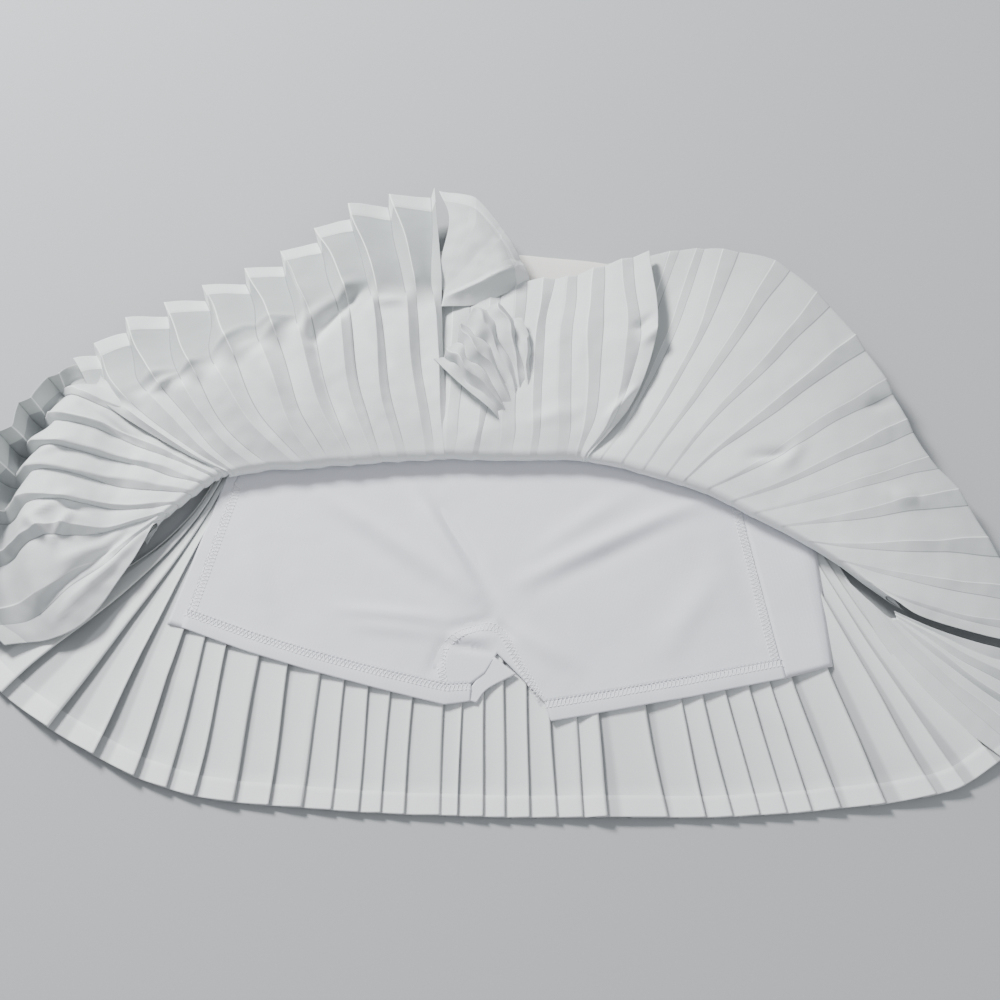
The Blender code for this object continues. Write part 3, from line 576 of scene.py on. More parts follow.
sideLeft = {   # each pleat runs out to a rim, drops into the open side of the skirt and rises to its hem
    "node": "skirt_side_left",
    # the far end, down in the hollow, takes the darkest cloth colour: painted shade
    "sheet": dict(places=(0.0, 0.42, 0.76, 1.0), dipAt=0.88, stations=90, seed=5, columns=(5, 9),
                  flipWidth=0.02, belly=0.10, unevenness=0.0016, wander=0.05, cloth=sideShadedCloth,
                  layers=(1.0, 1.0, 0.8, 0.0), reliefScale=(.7, .55, .65, .95), creaseAt=0.002),
    "ribs": [
        Rib(0, -.1870, .0150, -.226, .0430, -.280, .079, -.303, .110, .022, .026, .014, .012,
            .40, .30, .30, .001, .001, .002, .002),
        Rib(1, -.196, .0125, -.251, .0500, -.306, .074, -.321, .092, .024, .029, .012, .022,
            .35, .20, .25, .002, .007, .008, .008),
        Rib(2, -.200, .0100, -.256, .0360, -.317, .053, -.338, .070, .024, .031, .006, .028,
            .30, .18, .25, .002, .009, .010, .009),
        Rib(3, -.207, .0050, -.260, .0200, -.326, .032, -.351, .044, .024, .031, .005, .029,
            .25, .16, .22, .002, .010, .012, .010),
        Rib(4, -.215, -.0020, -.262, .0030, -.329, .012, -.360, .018, .024, .030, .004, .029,
            .25, .16, .20, .002, .010, .012, .010),
        Rib(5, -.224, -.0100, -.266, -.0150, -.332, -.011, -.366, -.016, .024, .029, .004, .028,
            .25, .16, .20, .002, .010, .012, .010),
        Rib(6, -.232, -.0170, -.269, -.0300, -.328, -.038, -.370, -.052, .023, .027, .004, .024,
            .25, .18, .20, .002, .009, .010, .009),
        Rib(7, -.238, -.0220, -.272, -.0500, -.313, -.078, -.360, -.090, .020, .021, .005, .016,
            .30, .30, .30, .002, .006, .006, .006),
        Rib(8, -.240, -.0250, -.260, -.0640, -.290, -.104, -.336, -.114, .015, .013, .007, .010,
            .40, .40, .40, .001, .002, .003, .003),
    ],
    "folds": [
        Fold(-.325, .020, -.300, .030, .0030, .0040, 2.0),
        Fold(-.328, -.030, -.296, -.012, .0035, .0040, 2.0),
        Fold(-.312, -.016, -.288, -.022, -.0030, .0035, 2.0),
        Fold(-.300, -.060, -.276, -.046, .0030, .0040, 2.0),
        Fold(-.314, -.090, -.259, -.036, -.0040, .0028, 2.0),
        Fold(-.303, -.099, -.248, -.034, .0032, .0030, 2.0),
        Fold(-.328, -.027, -.307, -.045, .0042, .0030, 2.0),
        Fold(-.307, -.045, -.296, -.025, .0036, .0026, 2.0),
        Fold(-.296, .058, -.255, .032, -.0034, .0030, 2.0),
    ],
}

turnedEnd = {
    "node": "skirt_front_turn",
    "sheet": dict(stations=50, seed=7, columns=(6, 4), foot="open", footZ=0.030, unevenness=0.0016,
                  wander=0.0, layers=(0.95, 0.8, 0.6, 0.45), reliefScale=(.1, .15, .25, .35),
                  creaseAt=0.02),
    "ribs": [
        Rib(0, -.045, .160, -.043, .186, -.038, .212, -.0465, .2480, .034, .036, .033, .026,
            .60, .70, .85, .001, .001, .001, .001),
        Rib(1, -.043, .158, -.032, .182, -.020, .206, -.019, .2410, .034, .039, .034, .027,
            .60, .70, .85, .001, .002, .002, .001),
        Rib(2, -.042, .155, -.022, .172, -.004, .190, .003, .2120, .033, .038, .033, .026,
            .60, .70, .85, .001, .002, .002, .001),
        Rib(3, -.042, .150, -.018, .160, .004, .172, .018, .1830, .031, .036, .030, .024,
            .60, .70, .85, .001, .003, .004, .003),
        Rib(4, -.043, .143, -.018, .148, .004, .158, .024, .1680, .024, .024, .020, .015,
            .60, .70, .85, .001, .002, .003, .002),
    ],
    "folds": [Fold(-.040, .151, .019, .176, .0022, .0022, 2.0)],
}

frontMiddle = {
    "node": "skirt_front_middle",
    "sheet": dict(stations=70, seed=9, columns=(5, 6), hem="tucked", unevenness=0.0009, wander=0.03,
                  layers=(1.0, 1.0, 0.85, 0.7), reliefScale=(.2, .35, .4, .45), shareScale=(.7, .85, .9),
                  creaseAt=0.0012),
    "ribs": [
        Rib(-1, -.054, .0270, -.056, .050, -.058, .090, -.060, .150, .021, .022, .022, .021,
            .45, .45, .45, .001, .001, .001, .001),
        Rib(0, -.038, .0260, -.038, .050, -.036, .095, -.033, .160, .025, .027, .026, .021,
            .45, .45, .45, .002, .003, .003, .003),
        Rib(1, -.020, .0250, -.016, .048, -.010, .100, -.008, .166, .026, .028, .027, .022,
            .30, .40, .45, .003, .005, .005, .004),
        Rib(2, -.001, .0245, .001, .052, .008, .105, .012, .168, .026, .029, .028, .023,
            .60, .50, .45, .003, .006, .006, .005),
        Rib(3, .021, .0245, .024, .054, .025, .106, .033, .170, .026, .029, .028, .024,
            .35, .40, .45, .003, .007, .008, .006),
        Rib(4, .040, .0250, .042, .058, .043, .110, .051, .171, .027, .030, .028, .025,
            .65, .55, .45, .003, .007, .008, .006),
        Rib(5, .054, .0250, .061, .056, .064, .112, .069, .177, .027, .031, .030, .026,
            .45, .45, .45, .003, .007, .008, .006),
        Rib(6, .059, .0240, .079, .054, .092, .108, .090, .184, .027, .033, .031, .027,
            .45, .45, .45, .003, .007, .008, .006),
        Rib(7, .061, .0235, .094, .064, .113, .114, .112, .192, .026, .032, .031, .027,
            .45, .45, .45, .002, .005, .006, .005),
    ],
    "folds": [
        Fold(.078, .052, .100, .076, .0050, .0035, 2.0),
        Fold(.088, .056, .104, .080, -.0030, .0030, 2.0),
        Fold(.104, .112, .120, .124, .0045, .0040, 2.0),
        Fold(.098, .122, .112, .134, -.0030, .0030, 2.0),
        Fold(.020, .050, .052, .058, .0016, .0060, 2.0),
    ],
}

frontRight = {
    "node": "skirt_front_right",
    # greyer towards its outer edge: thinner cloth and painted shade
    "sheet": dict(stations=80, seed=11, columns=(5, 7), hem="tucked", unevenness=0.0008, wander=0.015,
                  layers=(1.0, .95, .7, .45), reliefScale=(.10, .16, .20, .22),
                  shareScale=(.25, .62, .85), creaseAt=0.0009),
    "ribs": [
        Rib(-2, .034, .026, .046, .060, .062, .114, .080, .1880, .0165, .0165, .0165, .016,
            .35, .36, .38, .001, .001, .001, .001),
        Rib(-1, .048, .025, .062, .058, .082, .114, .104, .1930, .0165, .0170, .017, .017,
            .35, .36, .38, .001, .003, .003, .003),
        Rib(0, .060, .024, .078, .056, .100, .112, .128, .1970, .018, .018, .018, .019,
            .35, .36, .38, .002, .004, .004, .005),
        Rib(1, .070, .022, .092, .056, .118, .112, .148, .1985, .021, .023, .021, .021,
            .35, .36, .38, .003, .006, .007, .007),
        Rib(2, .085, .019, .110, .057, .141, .115, .168, .1965, .025, .029, .026, .023,
            .35, .36, .38, .004, .008, .008, .009),
        Rib(3, .100, .014, .126, .052, .164, .110, .205, .1860, .027, .032, .028, .024,
            .35, .36, .38, .004, .008, .009, .010),
        Rib(4, .116, .009, .143, .044, .187, .094, .235, .1570, .028, .033, .029, .024,
            .35, .36, .38, .004, .008, .009, .010),
        Rib(5, .128, .005, .160, .034, .206, .071, .259, .1220, .028, .033, .029, .024,
            .35, .36, .38, .004, .008, .009, .010),
        Rib(6, .144, -.001, .176, .014, .224, .046, .278, .0850, .027, .032, .028, .023,
            .35, .36, .38, .004, .008, .008, .010),
        Rib(7, .161, -.010, .192, .000, .238, .022, .290, .0530, .026, .031, .027, .022,
            .36, .38, .40, .003, .006, .006, .008),
        Rib(8, .176, -.019, .207, -.012, .252, .002, .302, .0240, .025, .030, .026, .021,
            .38, .40, .42, .003, .005, .005, .007),
        Rib(9, .194, -.029, .220, -.026, .262, -.018, .321, -.0010, .024, .028, .025, .020,
            .38, .40, .42, .003, .006, .006, .008),
        Rib(10, .212, -.040, .238, -.044, .278, -.044, .337, -.0370, .023, .026, .023, .018,
            .38, .40, .42, .003, .006, .007, .009),
        Rib(11, .232, -.054, .254, -.060, .292, -.069, .355, -.0730, .021, .023, .020, .016,
            .38, .40, .42, .003, .005, .006, .007),
        Rib(12, .250, -.069, .271, -.080, .310, -.094, .368, -.1000, .018, .020, .018, .014,
            .38, .40, .42, .002, .004, .005, .005),
        Rib(13, .264, -.080, .286, -.094, .324, -.108, .380, -.1180, .015, .017, .015, .012,
            .38, .40, .42, .002, .003, .003, .003),
    ],
    "folds": [
        Fold(.176, .020, .204, .024, -.0035, .0040, 1.5),
        Fold(.196, .012, .214, .030, .0030, .0050, 2.0),
        Fold(.262, .060, .284, .070, -.0030, .0040, 1.5),
        Fold(.272, -.010, .292, -.012, .0040, .0070, 2.0),
    ],
}

crushedPleats = {   # a bunch of pleats folded over like a small fan, its pivot sunk in the cloth below
    "node": "skirt_front_crush",
    # drawn with the darker copy of the cloth: painted shade
    "sheet": dict(stations=40, seed=13, columns=(6, 6), hem="plain", foot="open", footZ=0.016,
                  unevenness=0.0016, wander=0.12, cloth=sideShadedCloth, layers=(1.0, 0.9, 0.8, 0.7),
                  creaseAt=0.002),
    "ribs": [
        Rib(0, .006, .046, -.008, .057, -.026, .073, -.047, .0980, .031, .035, .034, .031,
            .5, .5, .5, .001, .004, .005, .005),
        Rib(1, .010, .048, -.004, .066, -.021, .084, -.038, .1000, .032, .039, .040, .037,
            .4, .5, .6, .001, .005, .008, .008),
        Rib(2, .013, .050, .001, .076, -.014, .098, -.029, .1170, .032, .041, .042, .039,
            .6, .5, .4, .001, .005, .008, .009),
        Rib(3, .015, .052, .007, .085, -.004, .110, -.019, .1330, .032, .040, .041, .038,
            .5, .4, .5, .001, .005, .008, .009),
        Rib(4, .018, .054, .013, .088, .007, .114, -.002, .1390, .031, .038, .038, .036,
            .4, .5, .6, .001, .004, .007, .008),
        Rib(5, .021, .056, .020, .084, .019, .106, .016, .1280, .030, .034, .034, .032,
            .5, .5, .5, .001, .003, .005, .005),
        Rib(6, .023, .056, .026, .078, .027, .094, .026, .1120, .026, .027, .027, .026,
            .5, .5, .5, .001, .001, .001, .001),
    ],
    "folds": [
        Fold(-.030, .092, -.002, .070, .0040, .0045, 2.0),
        Fold(-.010, .118, .006, .082, -.0035, .0035, 2.0),
    ],
}

sideRight = {
    "node": "skirt_side_right",
    "sheet": dict(stations=50, seed=15, columns=(6, 6), foot="open", footZ=0.010,
                  layers=(0.8, 0.8, 0.6, 0.6)),
    "ribs": [
        Rib(-1, .270, -.089, .296, -.103, .330, -.115, .383, -.127, .0125, .0125, .012, .010,
            .45, .45, .45, .001, .002, .003, .003),
        Rib(0, .271, -.092, .298, -.110, .332, -.130, .386, -.146, .0120, .0125, .012, .010,
            .45, .45, .45, .001, .003, .004, .005),
        Rib(1, .270, -.094, .297, -.118, .328, -.144, .372, -.167, .0110, .0110, .010, .009,
            .45, .45, .45, .001, .003, .004, .004),
        Rib(2, .262, -.090, .290, -.122, .320, -.150, .356, -.181, .0080, .0080, .008, .007,
            .45, .45, .45, .001, .002, .002, .003),
        Rib(3, .238, -.064, .266, -.118, .300, -.160, .338, -.195, .0040, .0040, .004, .003,
            .45, .45, .45, .001, .001, .001, .001),
    ],
}


frontPieces = {
    "frontPleatsLeft": frontLeft, "sidePleatsLeft": sideLeft, "frontPleatsTurned": turnedEnd,
    "frontPleatsMiddle": frontMiddle, "frontPleatsRight": frontRight, "frontPleatsCrushed": crushedPleats,
    "sidePleatsRight": sideRight,
}


def makePleats(name, node, ribs, settings):
    sheet = PleatedSheet(name, ribs, **settings)
    made = sheet.build()
    addPiece(made, node)
    print(name, "cloth", [round(side, 3) for side in sheet.size], "faces", len(made.data.polygons))


def buildFront():
    for name, piece in frontPieces.items():
        settings = dict(piece["sheet"], folds=piece.get("folds", ()))
        makePleats(name, piece["node"], piece["ribs"], settings)


BackRib = namedtuple("BackRib", "pleat waistX sideX sideY hemX hemY lift relief share")

seam = {"y": 0.135, "slope": -0.07, "bend": -0.50}   # line where the band meets the pleats


def seamY(x):
    return seam["y"] + seam["slope"] * x + seam["bend"] * x * x


back = {
    "bedZ": 0.0024,        # middle height of the lapped pleats
    "edgeRaise": 0.0012,   # each free edge stands up this much more at the hem
    "relief": (.0020, .0032, .0036),   # at the waist, low and high places
    "waistShare": -.7, "gap": 0.0003,
    # each lapped strip is painted in shade where it comes out from under its neighbour, grading to the plain
    # cloth at its own free edge
    "sheet": dict(places=(0.0, 0.21, 0.42, 1.0), columns=(3, 8), stations=46, seed=21, foot="open",
                  belly=0.10, unevenness=0.0003, wander=0.03, layers=(0.9, 0.9, 0.95, 0.95),
                  faceLayers=(-0.1, 1.1), creaseAt=0.0035, lapAt=0.42, cloth=backShadedCloth),
    "ribs": [
        BackRib(0, -.1570, -.2130, -.004, -.3640, -.118, .0000, .0025, -.10),
        BackRib(1, -.1494, -.2090, -.006, -.3350, -.146, .0012, .0040, -.10),
        BackRib(2, -.1417, -.2050, -.008, -.3010, -.170, .0022, .0060, -.15),
        BackRib(3, -.1341, -.2000, -.010, -.2700, -.188, .0022, .0060, -.20),
        BackRib(4, -.1254, -.1900, -.012, -.2410, -.203, .0016, .0050, -.30),
        BackRib(5, -.1163, -.1790, -.013, -.2180, -.211, .0008, .0040, -.50),
        BackRib(6, -.1072, -.1660, -.014, -.2000, -.216, .0006, .0036, -.60),
        BackRib(7, -.0980, -.1470, -.014, -.1740, -.220, .0004, .0034, -.60),
        BackRib(8, -.0887, -.1280, -.014, -.1510, -.222, .0000, .0030, -.65),
        BackRib(9, -.0795, -.1090, -.014, -.1300, -.2235, .0000, .0030, -.70),
        BackRib(10, -.0692, -.0940, -.014, -.1110, -.225, .0000, .0028, -.75),
        BackRib(11, -.0589, -.0800, -.014, -.0920, -.2265, .0000, .0028, -.75),
        BackRib(12, -.0486, -.0650, -.014, -.0780, -.227, .0000, .0028, -.75),
        BackRib(13, -.0383, -.0500, -.014, -.0627, -.228, .0000, .0028, -.75),
        BackRib(14, -.0287, -.0340, -.014, -.0400, -.2285, .0000, .0028, -.75),
        BackRib(15, -.0191, -.0230, -.014, -.0274, -.229, .0000, .0028, -.75),
        BackRib(16, -.0096, -.0100, -.014, -.0117, -.2295, .0000, .0028, -.75),
        BackRib(17, .0000, .0020, -.014, .0033, -.230, .0000, .0028, -.75),
        BackRib(18, .0096, .0150, -.014, .0196, -.230, .0000, .0028, -.75),
        BackRib(19, .0198, .0280, -.014, .0366, -.230, .0000, .0028, -.75),
        BackRib(20, .0300, .0420, -.014, .0542, -.230, .0000, .0028, -.70),
        BackRib(21, .0402, .0560, -.014, .0706, -.230, .0018, .0040, -.45),
        BackRib(22, .0508, .0780, -.014, .1085, -.230, .0002, .0030, -.60),
        BackRib(23, .0613, .0960, -.014, .1346, -.230, .0000, .0028, -.75),
        BackRib(24, .0706, .1100, -.016, .1516, -.2295, .0000, .0028, -.75),
        BackRib(25, .0798, .1240, -.018, .1686, -.2285, .0000, .0028, -.75),
        BackRib(26, .0891, .1390, -.020, .1870, -.2275, .0000, .0028, -.75),
        BackRib(27, .0987, .1510, -.023, .2040, -.226, .0000, .0028, -.70),
        BackRib(28, .1082, .1640, -.026, .2229, -.224, .0004, .0034, -.50),
        BackRib(29, .1197, .1870, -.032, .2530, -.2210, .0010, .0040, -.30),
        BackRib(30, .1302, .2080, -.044, .2860, -.2150, .0010, .0040, -.30),
        BackRib(31, .1398, .2240, -.056, .3050, -.2090, .0008, .0036, -.30),
        BackRib(32, .1484, .2380, -.068, .3290, -.1935, .0004, .0030, -.30),
        BackRib(33, .1570, .2500, -.078, .3500, -.1780, .0000, .0020, -.30),
    ],
    "folds": [
        Fold(.160, -.150, .200, -.172, .0010, .0050, 2.0),
        Fold(-.240, -.120, -.205, -.150, .0012, .0080, 2.0),
    ],
}


def buildBack():
    ribs = []
    for row in back["ribs"]:
        waistY = seamY(row.waistX) - back["gap"]
        halfway = (0.5 * (row.waistX + row.sideX), 0.5 * (waistY + row.sideY))
        levels = [back["bedZ"] + part * row.lift for part in (0.0, 0.3, 0.8, 1.0)]
        shares = (back["waistShare"], 0.4 * row.share - 0.4, row.share)
        ribs.append(Rib(row.pleat, row.waistX, waistY, *halfway, row.sideX, row.sideY, row.hemX, row.hemY,
                        *levels, *shares, *back["relief"], row.relief + back["edgeRaise"]))
    settings = dict(back["sheet"], folds=back["folds"], footZ=back["bedZ"])
    makePleats("backPleats", "skirt_back", ribs, settings)


ShortsEdge = namedtuple("ShortsEdge", "place waistX sideX sideY edgeX edgeY hemX hemY")
shorts = {
    "backZ": 0.0052, "frontZ": 0.0068,     # upper faces of the two layers
    "thickness": 0.0009, "hemThickness": 0.0016, "gap": 0.0003,
    "edge": [   # lower edge of the front above its leg hems, from the left side round the crotch
        ShortsEdge(0, -.1490, -.1890, .013, -.2150, -.0870, -.2180, -.0995),
        ShortsEdge(1, -.1187, -.1560, .013, -.1690, -.1040, -.1730, -.1165),
        ShortsEdge(2, -.0919, -.1200, .013, -.1290, -.1170, -.1330, -.1290),
        ShortsEdge(3, -.0632, -.0820, .013, -.0820, -.1300, -.0850, -.1425),
        ShortsEdge(4, -.0345, -.0440, .013, -.0360, -.1410, -.0375, -.1545),
        ShortsEdge(5, -.0211, -.0280, .013, -.0195, -.1400, -.0200, -.1520),
        ShortsEdge(6, -.0096, -.0120, .013, -.0105, -.1330, -.0105, -.1420),
        ShortsEdge(7, .0019, .0030, .013, -.0020, -.1180, -.0020, -.1260),
        ShortsEdge(8, .0134, .0190, .013, .0140, -.1350, .0160, -.1460),
        ShortsEdge(9, .0268, .0360, .013, .0300, -.1530, .0340, -.1660),
        ShortsEdge(10, .0536, .0720, .013, .0780, -.1450, .0820, -.1575),
        ShortsEdge(11, .0804, .1080, .010, .1270, -.1360, .1310, -.1485),
        ShortsEdge(12, .1034, .1400, .004, .1620, -.1290, .1650, -.1415),
        ShortsEdge(13, .1187, .1700, -.006, .1902, -.1235, .1928, -.1360),
    ],
    "crotchSeam": [(-.0380, -.1400), (-.0400, -.1240), (-.0370, -.1130), (-.0280, -.1050), (-.0145, -.0995),
                   (-.0045, -.0995), (.0030, -.1060), (.0090, -.1180), (.0190, -.1360), (.0270, -.1500)],
    "leftHem": (0, 5.0), "rightHem": (9.0, 13),
    "sides": (   # outer edge of each side panel: waist x, side x and y, hem x and y; last, which way is out
        ("shortsSideLeft", "shorts_side_left", 0, (-.1570, -.1965, .013, -.2285, -.0960), -1),
        ("shortsSideRight", "shorts_side_right", 13, (.1530, .2210, -.020, .2256, -.1270), 1),
    ),
    "gussetLeft": [(-.0250, -.1500), (-.0180, -.1400), (-.0040, -.1205)],
    "gussetRight": [(-.0160, -.1530), (-.0080, -.1430), (.0110, -.1330)],
    "folds": [
        Fold(-.066, .014, -.012, -.082, .0046, .0060, 2.0),
        Fold(-.056, .014, -.006, -.070, -.0026, .0060, 2.0),
        Fold(-.122, .002, -.020, -.076, .0028, .0070, 2.0),
        Fold(-.128, -.010, -.040, -.078, -.0014, .0080, 2.0),
        Fold(.142, -.004, .016, -.066, .0044, .0070, 2.0),
        Fold(.128, -.016, .030, -.068, -.0020, .0070, 2.0),
        Fold(.100, .008, .024, -.044, .0018, .0070, 2.0),
        Fold(-.110, -.086, -.036, -.094, .0026, .0050, 2.0),
        Fold(-.100, -.097, -.044, -.104, .0018, .0050, 2.0),
        Fold(-.038, -.1110, -.006, -.1170, -.0024, .0022, 2.0),
        Fold(-.034, -.1060, -.006, -.1075, .0022, .0036, 2.0),
        Fold(-.047, -.134, -.037, -.108, -.0026, .0030, 2.0),
        Fold(-.034, -.100, -.006, -.093, -.0020, .0030, 2.0),
        Fold(.000, -.096, .010, -.108, -.0018, .0025, 2.0),
        Fold(.010, -.100, .050, -.128, .0026, .0070, 2.0),
        Fold(-.180, -.030, -.160, -.086, .0018, .0100, 2.0),
        Fold(.150, -.060, .110, -.118, .0020, .0100, 2.0),
        Fold(.160, -.020, .176, -.100, -.0012, .0090, 2.0),
    ],
}


def shortsRow(place):
    table = np.array([[float(cell) for cell in row] for row in shorts["edge"]])
    values = [np.interp(place, table[:, 0], table[:, column]) for column in range(1, 8)]
    return ShortsEdge(place, *values)


def panelLine(t, waistX, sideX, sideY, edgeX, edgeY):
    # from the waist seam, t = 0, past the hip, t = 0.45, to the lower edge, t = 1
    waist = np.stack([waistX, seamY(waistX) - shorts["gap"]], -1)
    side, edge = np.stack([sideX, sideY], -1), np.stack([edgeX, edgeY], -1)
    t = np.asarray(t)[..., None]
    return np.where(t < 0.45, waist + (side - waist) * t / 0.45, side + (edge - side) * (t - 0.45) / 0.55)


def shortsPlan(place, t):
    row = shortsRow(place)
    return panelLine(t, row.waistX, row.sideX, row.sideY, row.edgeX, row.edgeY)


def jerseyHeight(plan):
    y = plan[..., 1]
    raised = foldHeights(plan, shorts["folds"]) * (0.35 + 0.65 * ease((0.010 - y) / 0.030))
    flat = np.concatenate([plan, np.zeros((*plan.shape[:-1], 1))], axis=-1)
    return raised + 0.0005 * crumple(flat, 0.035, 4) + 0.0002 * crumple(flat, 0.012, 8)


def flatSheet(name, plan, z, thickness, material, heightOf=jerseyHeight, extra=0.0):
    grid = np.concatenate([plan, (z + heightOf(plan) + extra)[..., None]], axis=-1)
    u = np.concatenate([np.zeros((plan.shape[0], 1)),
                        np.cumsum(np.linalg.norm(np.diff(grid, axis=1), axis=-1), axis=1)], axis=1)
    v = np.concatenate([np.zeros((1, plan.shape[1])),
                        np.cumsum(np.linalg.norm(np.diff(grid, axis=0), axis=-1), axis=0)], axis=0)
    if gridNormals(grid)[..., 2].mean() < 0:
        grid, u, v = grid[:, ::-1], u[:, ::-1], v[:, ::-1]
    tone = np.zeros((*u.shape, 2))
    tone[..., 0] = 1.0
    made = closedSheet(name, grid, thickness, np.stack([u, v], axis=-1), material, tone)
    return made, (float(u.max()), float(v.max()))


def buildShorts():
    place = np.linspace(0, 13, 157)[None, :]
    t = np.linspace(0, 1, 96)[:, None]
    plan = shortsPlan(place + 0 * t, t + 0 * place)
    made, size = flatSheet("shortsFront", plan, shorts["frontZ"], shorts["thickness"], jerseyCloth)
    addPiece(made, "shorts_front")

    under = plan[::3, ::3].copy()
    under[..., 0] *= 0.985
    made, size = flatSheet("shortsBack", under, shorts["backZ"], shorts["thickness"], jerseyCloth,
                           heightOf=lambda points: np.zeros(points.shape[:-1]))
    addPiece(made, "shorts_back")

    for name, node, (first, last) in (("legHemLeft", "leg_hem_left", shorts["leftHem"]),
                                      ("legHemRight", "leg_hem_right", shorts["rightHem"])):
        place = np.linspace(first, last, 70)
        row = shortsRow(place)
        seamLine = np.stack([row.edgeX, row.edgeY], -1)
        hemLine = np.stack([row.hemX, row.hemY], -1)
        across = np.array([-0.03, 0.05, 0.16, 0.3, 0.5, 0.7, 0.84, 0.92, 0.97, 1.0])[:, None, None]
        strip = seamLine[None] + (hemLine - seamLine)[None] * across
        crown = 0.0005 * np.sin(np.pi * across[..., 0]) - 0.0005 * (across[..., 0] > 0.98)
        made, size = flatSheet(name, strip, shorts["frontZ"] + 0.0003, shorts["hemThickness"], jerseyCloth,
                               extra=crown)
        addPiece(made, node)

    for name, node, place, (waistX, sideX, sideY, hemX, hemY), away in shorts["sides"]:
        row = shortsRow(float(place))
        steps = np.linspace(0, 1, 60)
        inner = panelLine(steps, row.waistX, row.sideX, row.sideY, row.hemX, row.hemY)
        inner = inner - np.array([away * 0.0004, 0.0])
        outer = panelLine(steps, waistX, sideX, sideY, hemX, hemY)
        across = np.linspace(0, 1, 14)[None, :, None]
        plan = inner[:, None] + (outer - inner)[:, None] * across
        rounded = -0.0022 * np.maximum(across[..., 0] - 0.85, 0) / 0.15 + 0 * plan[..., 0]
        made, size = flatSheet(name, plan, shorts["frontZ"], shorts["thickness"], jerseyCloth, extra=rounded)
        addPiece(made, node)

    along = np.linspace(0, 1, 24)
    leftLine = hermite([0, .5, 1], shorts["gussetLeft"], along)
    rightLine = hermite([0, .5, 1], shorts["gussetRight"], along)
    plan = leftLine[:, None] + (rightLine - leftLine)[:, None] * np.linspace(0, 1, 12)[None, :, None]
    made, size = flatSheet("shortsGusset", plan, shorts["backZ"] + 0.0010, 0.0007, jerseyCloth,
                           heightOf=lambda points: 0.0004 * np.ones(points.shape[:-1]))
    addPiece(made, "shorts_gusset")
    print("shorts made")


stitching = {"length": 0.0028, "gap": 0.0005, "radius": 0.00034, "rowApart": 0.0050, "looperRadius": 0.00024,
             "above": 0.00012}


def stitchTree():
    # short stitches of thread laid one after another along a line
    tree = bpy.data.node_groups.new("coverStitch", "GeometryNodeTree")
    tree.interface.new_socket(name="Geometry", in_out="OUTPUT", socket_type="NodeSocketGeometry")
    tree.interface.new_socket(name="Geometry", in_out="INPUT", socket_type="NodeSocketGeometry")
    wanted = {"Stitch Spacing": "NodeSocketFloat", "Stitch Size": "NodeSocketVector",
              "Thread": "NodeSocketMaterial"}
    sockets = {name: tree.interface.new_socket(name=name, in_out="INPUT", socket_type=kind)
               for name, kind in wanted.items()}
    start = addNode(tree, "NodeGroupInput")
    line = addNode(tree, "GeometryNodeMeshToCurve", links={"Mesh": start.outputs["Geometry"]})
    places = addNode(tree, "GeometryNodeCurveToPoints", {"mode": "LENGTH"},
                     links={"Curve": line.outputs[0], "Length": start.outputs["Stitch Spacing"]})
    turned = addNode(tree, "FunctionNodeAlignRotationToVector", {"axis": "X"},
                     links={"Vector": places.outputs["Tangent"]})
    bead = addNode(tree, "GeometryNodeMeshUVSphere", inputs={"Segments": 6, "Rings": 4, "Radius": 1.0})
    laid = addNode(tree, "GeometryNodeInstanceOnPoints",
                   links={"Points": places.outputs["Points"], "Instance": bead.outputs["Mesh"],
                          "Rotation": turned.outputs[0], "Scale": start.outputs["Stitch Size"]})
    real = addNode(tree, "GeometryNodeRealizeInstances", links={"Geometry": laid.outputs[0]})
    painted = addNode(tree, "GeometryNodeSetMaterial",
                      links={"Geometry": real.outputs[0], "Material": start.outputs["Thread"]})
    end = addNode(tree, "NodeGroupOutput")
    tree.links.new(painted.outputs[0], end.inputs[0])
    return tree, {name: socket.identifier for name, socket in sockets.items()}


def stitched(name, lines, spacing, size, tree, sockets):
    # lines of stitches as one mesh
    points, edges = [], []
    for line in lines:
        edges += [(len(points) + i, len(points) + i + 1) for i in range(len(line) - 1)]
        points += [tuple(point + shift) for point in line]
    mesh = bpy.data.meshes.new(name + "Line")
    mesh.from_pydata(points, edges, [])
    guide = bpy.data.objects.new(name + "Guide", mesh)
    bpy.context.scene.collection.objects.link(guide)
    modifier = guide.modifiers.new("coverStitch", "NODES")
    modifier.node_group = tree
    modifier[sockets["Stitch Spacing"]] = spacing
    modifier[sockets["Stitch Size"]] = size
    modifier[sockets["Thread"]] = thread
    seen = guide.evaluated_get(bpy.context.evaluated_depsgraph_get())
    made = bpy.data.objects.new(name, bpy.data.meshes.new_from_object(seen))
    bpy.context.scene.collection.objects.link(made)
    guide.modifiers.clear()
    bpy.data.objects.remove(guide, do_unlink=True)
    made.data.polygons.foreach_set("use_smooth", np.ones(len(made.data.polygons), dtype=bool))
    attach(made, "root")
    return made


def onJersey(plan, z):
    plan = np.asarray(plan, float)
    return np.concatenate([plan, (z + jerseyHeight(plan) + stitching["above"])[:, None]], axis=1)


def seamRows(plan, z):
    # two needle rows and the looper thread that zigzags between them, beside a seam line
    plan = np.asarray(plan, float)
    run = np.concatenate([[0.0], np.cumsum(np.linalg.norm(np.diff(plan, axis=0), axis=1))])
    steps = np.arange(0.0, run[-1], stitching["length"] / 2)
    line = np.stack([np.interp(steps, run, plan[:, axis]) for axis in (0, 1)], axis=1)
    heading = np.gradient(line, axis=0)
    heading /= np.linalg.norm(heading, axis=1, keepdims=True)
    side = np.stack([-heading[:, 1], heading[:, 0]], axis=1) * stitching["rowApart"] / 2
    swing = np.where(np.arange(len(line)) % 2 == 0, 0.85, -0.85)[:, None]
    return [onJersey(line + side, z), onJersey(line - side, z)], onJersey(line + side * swing, z)


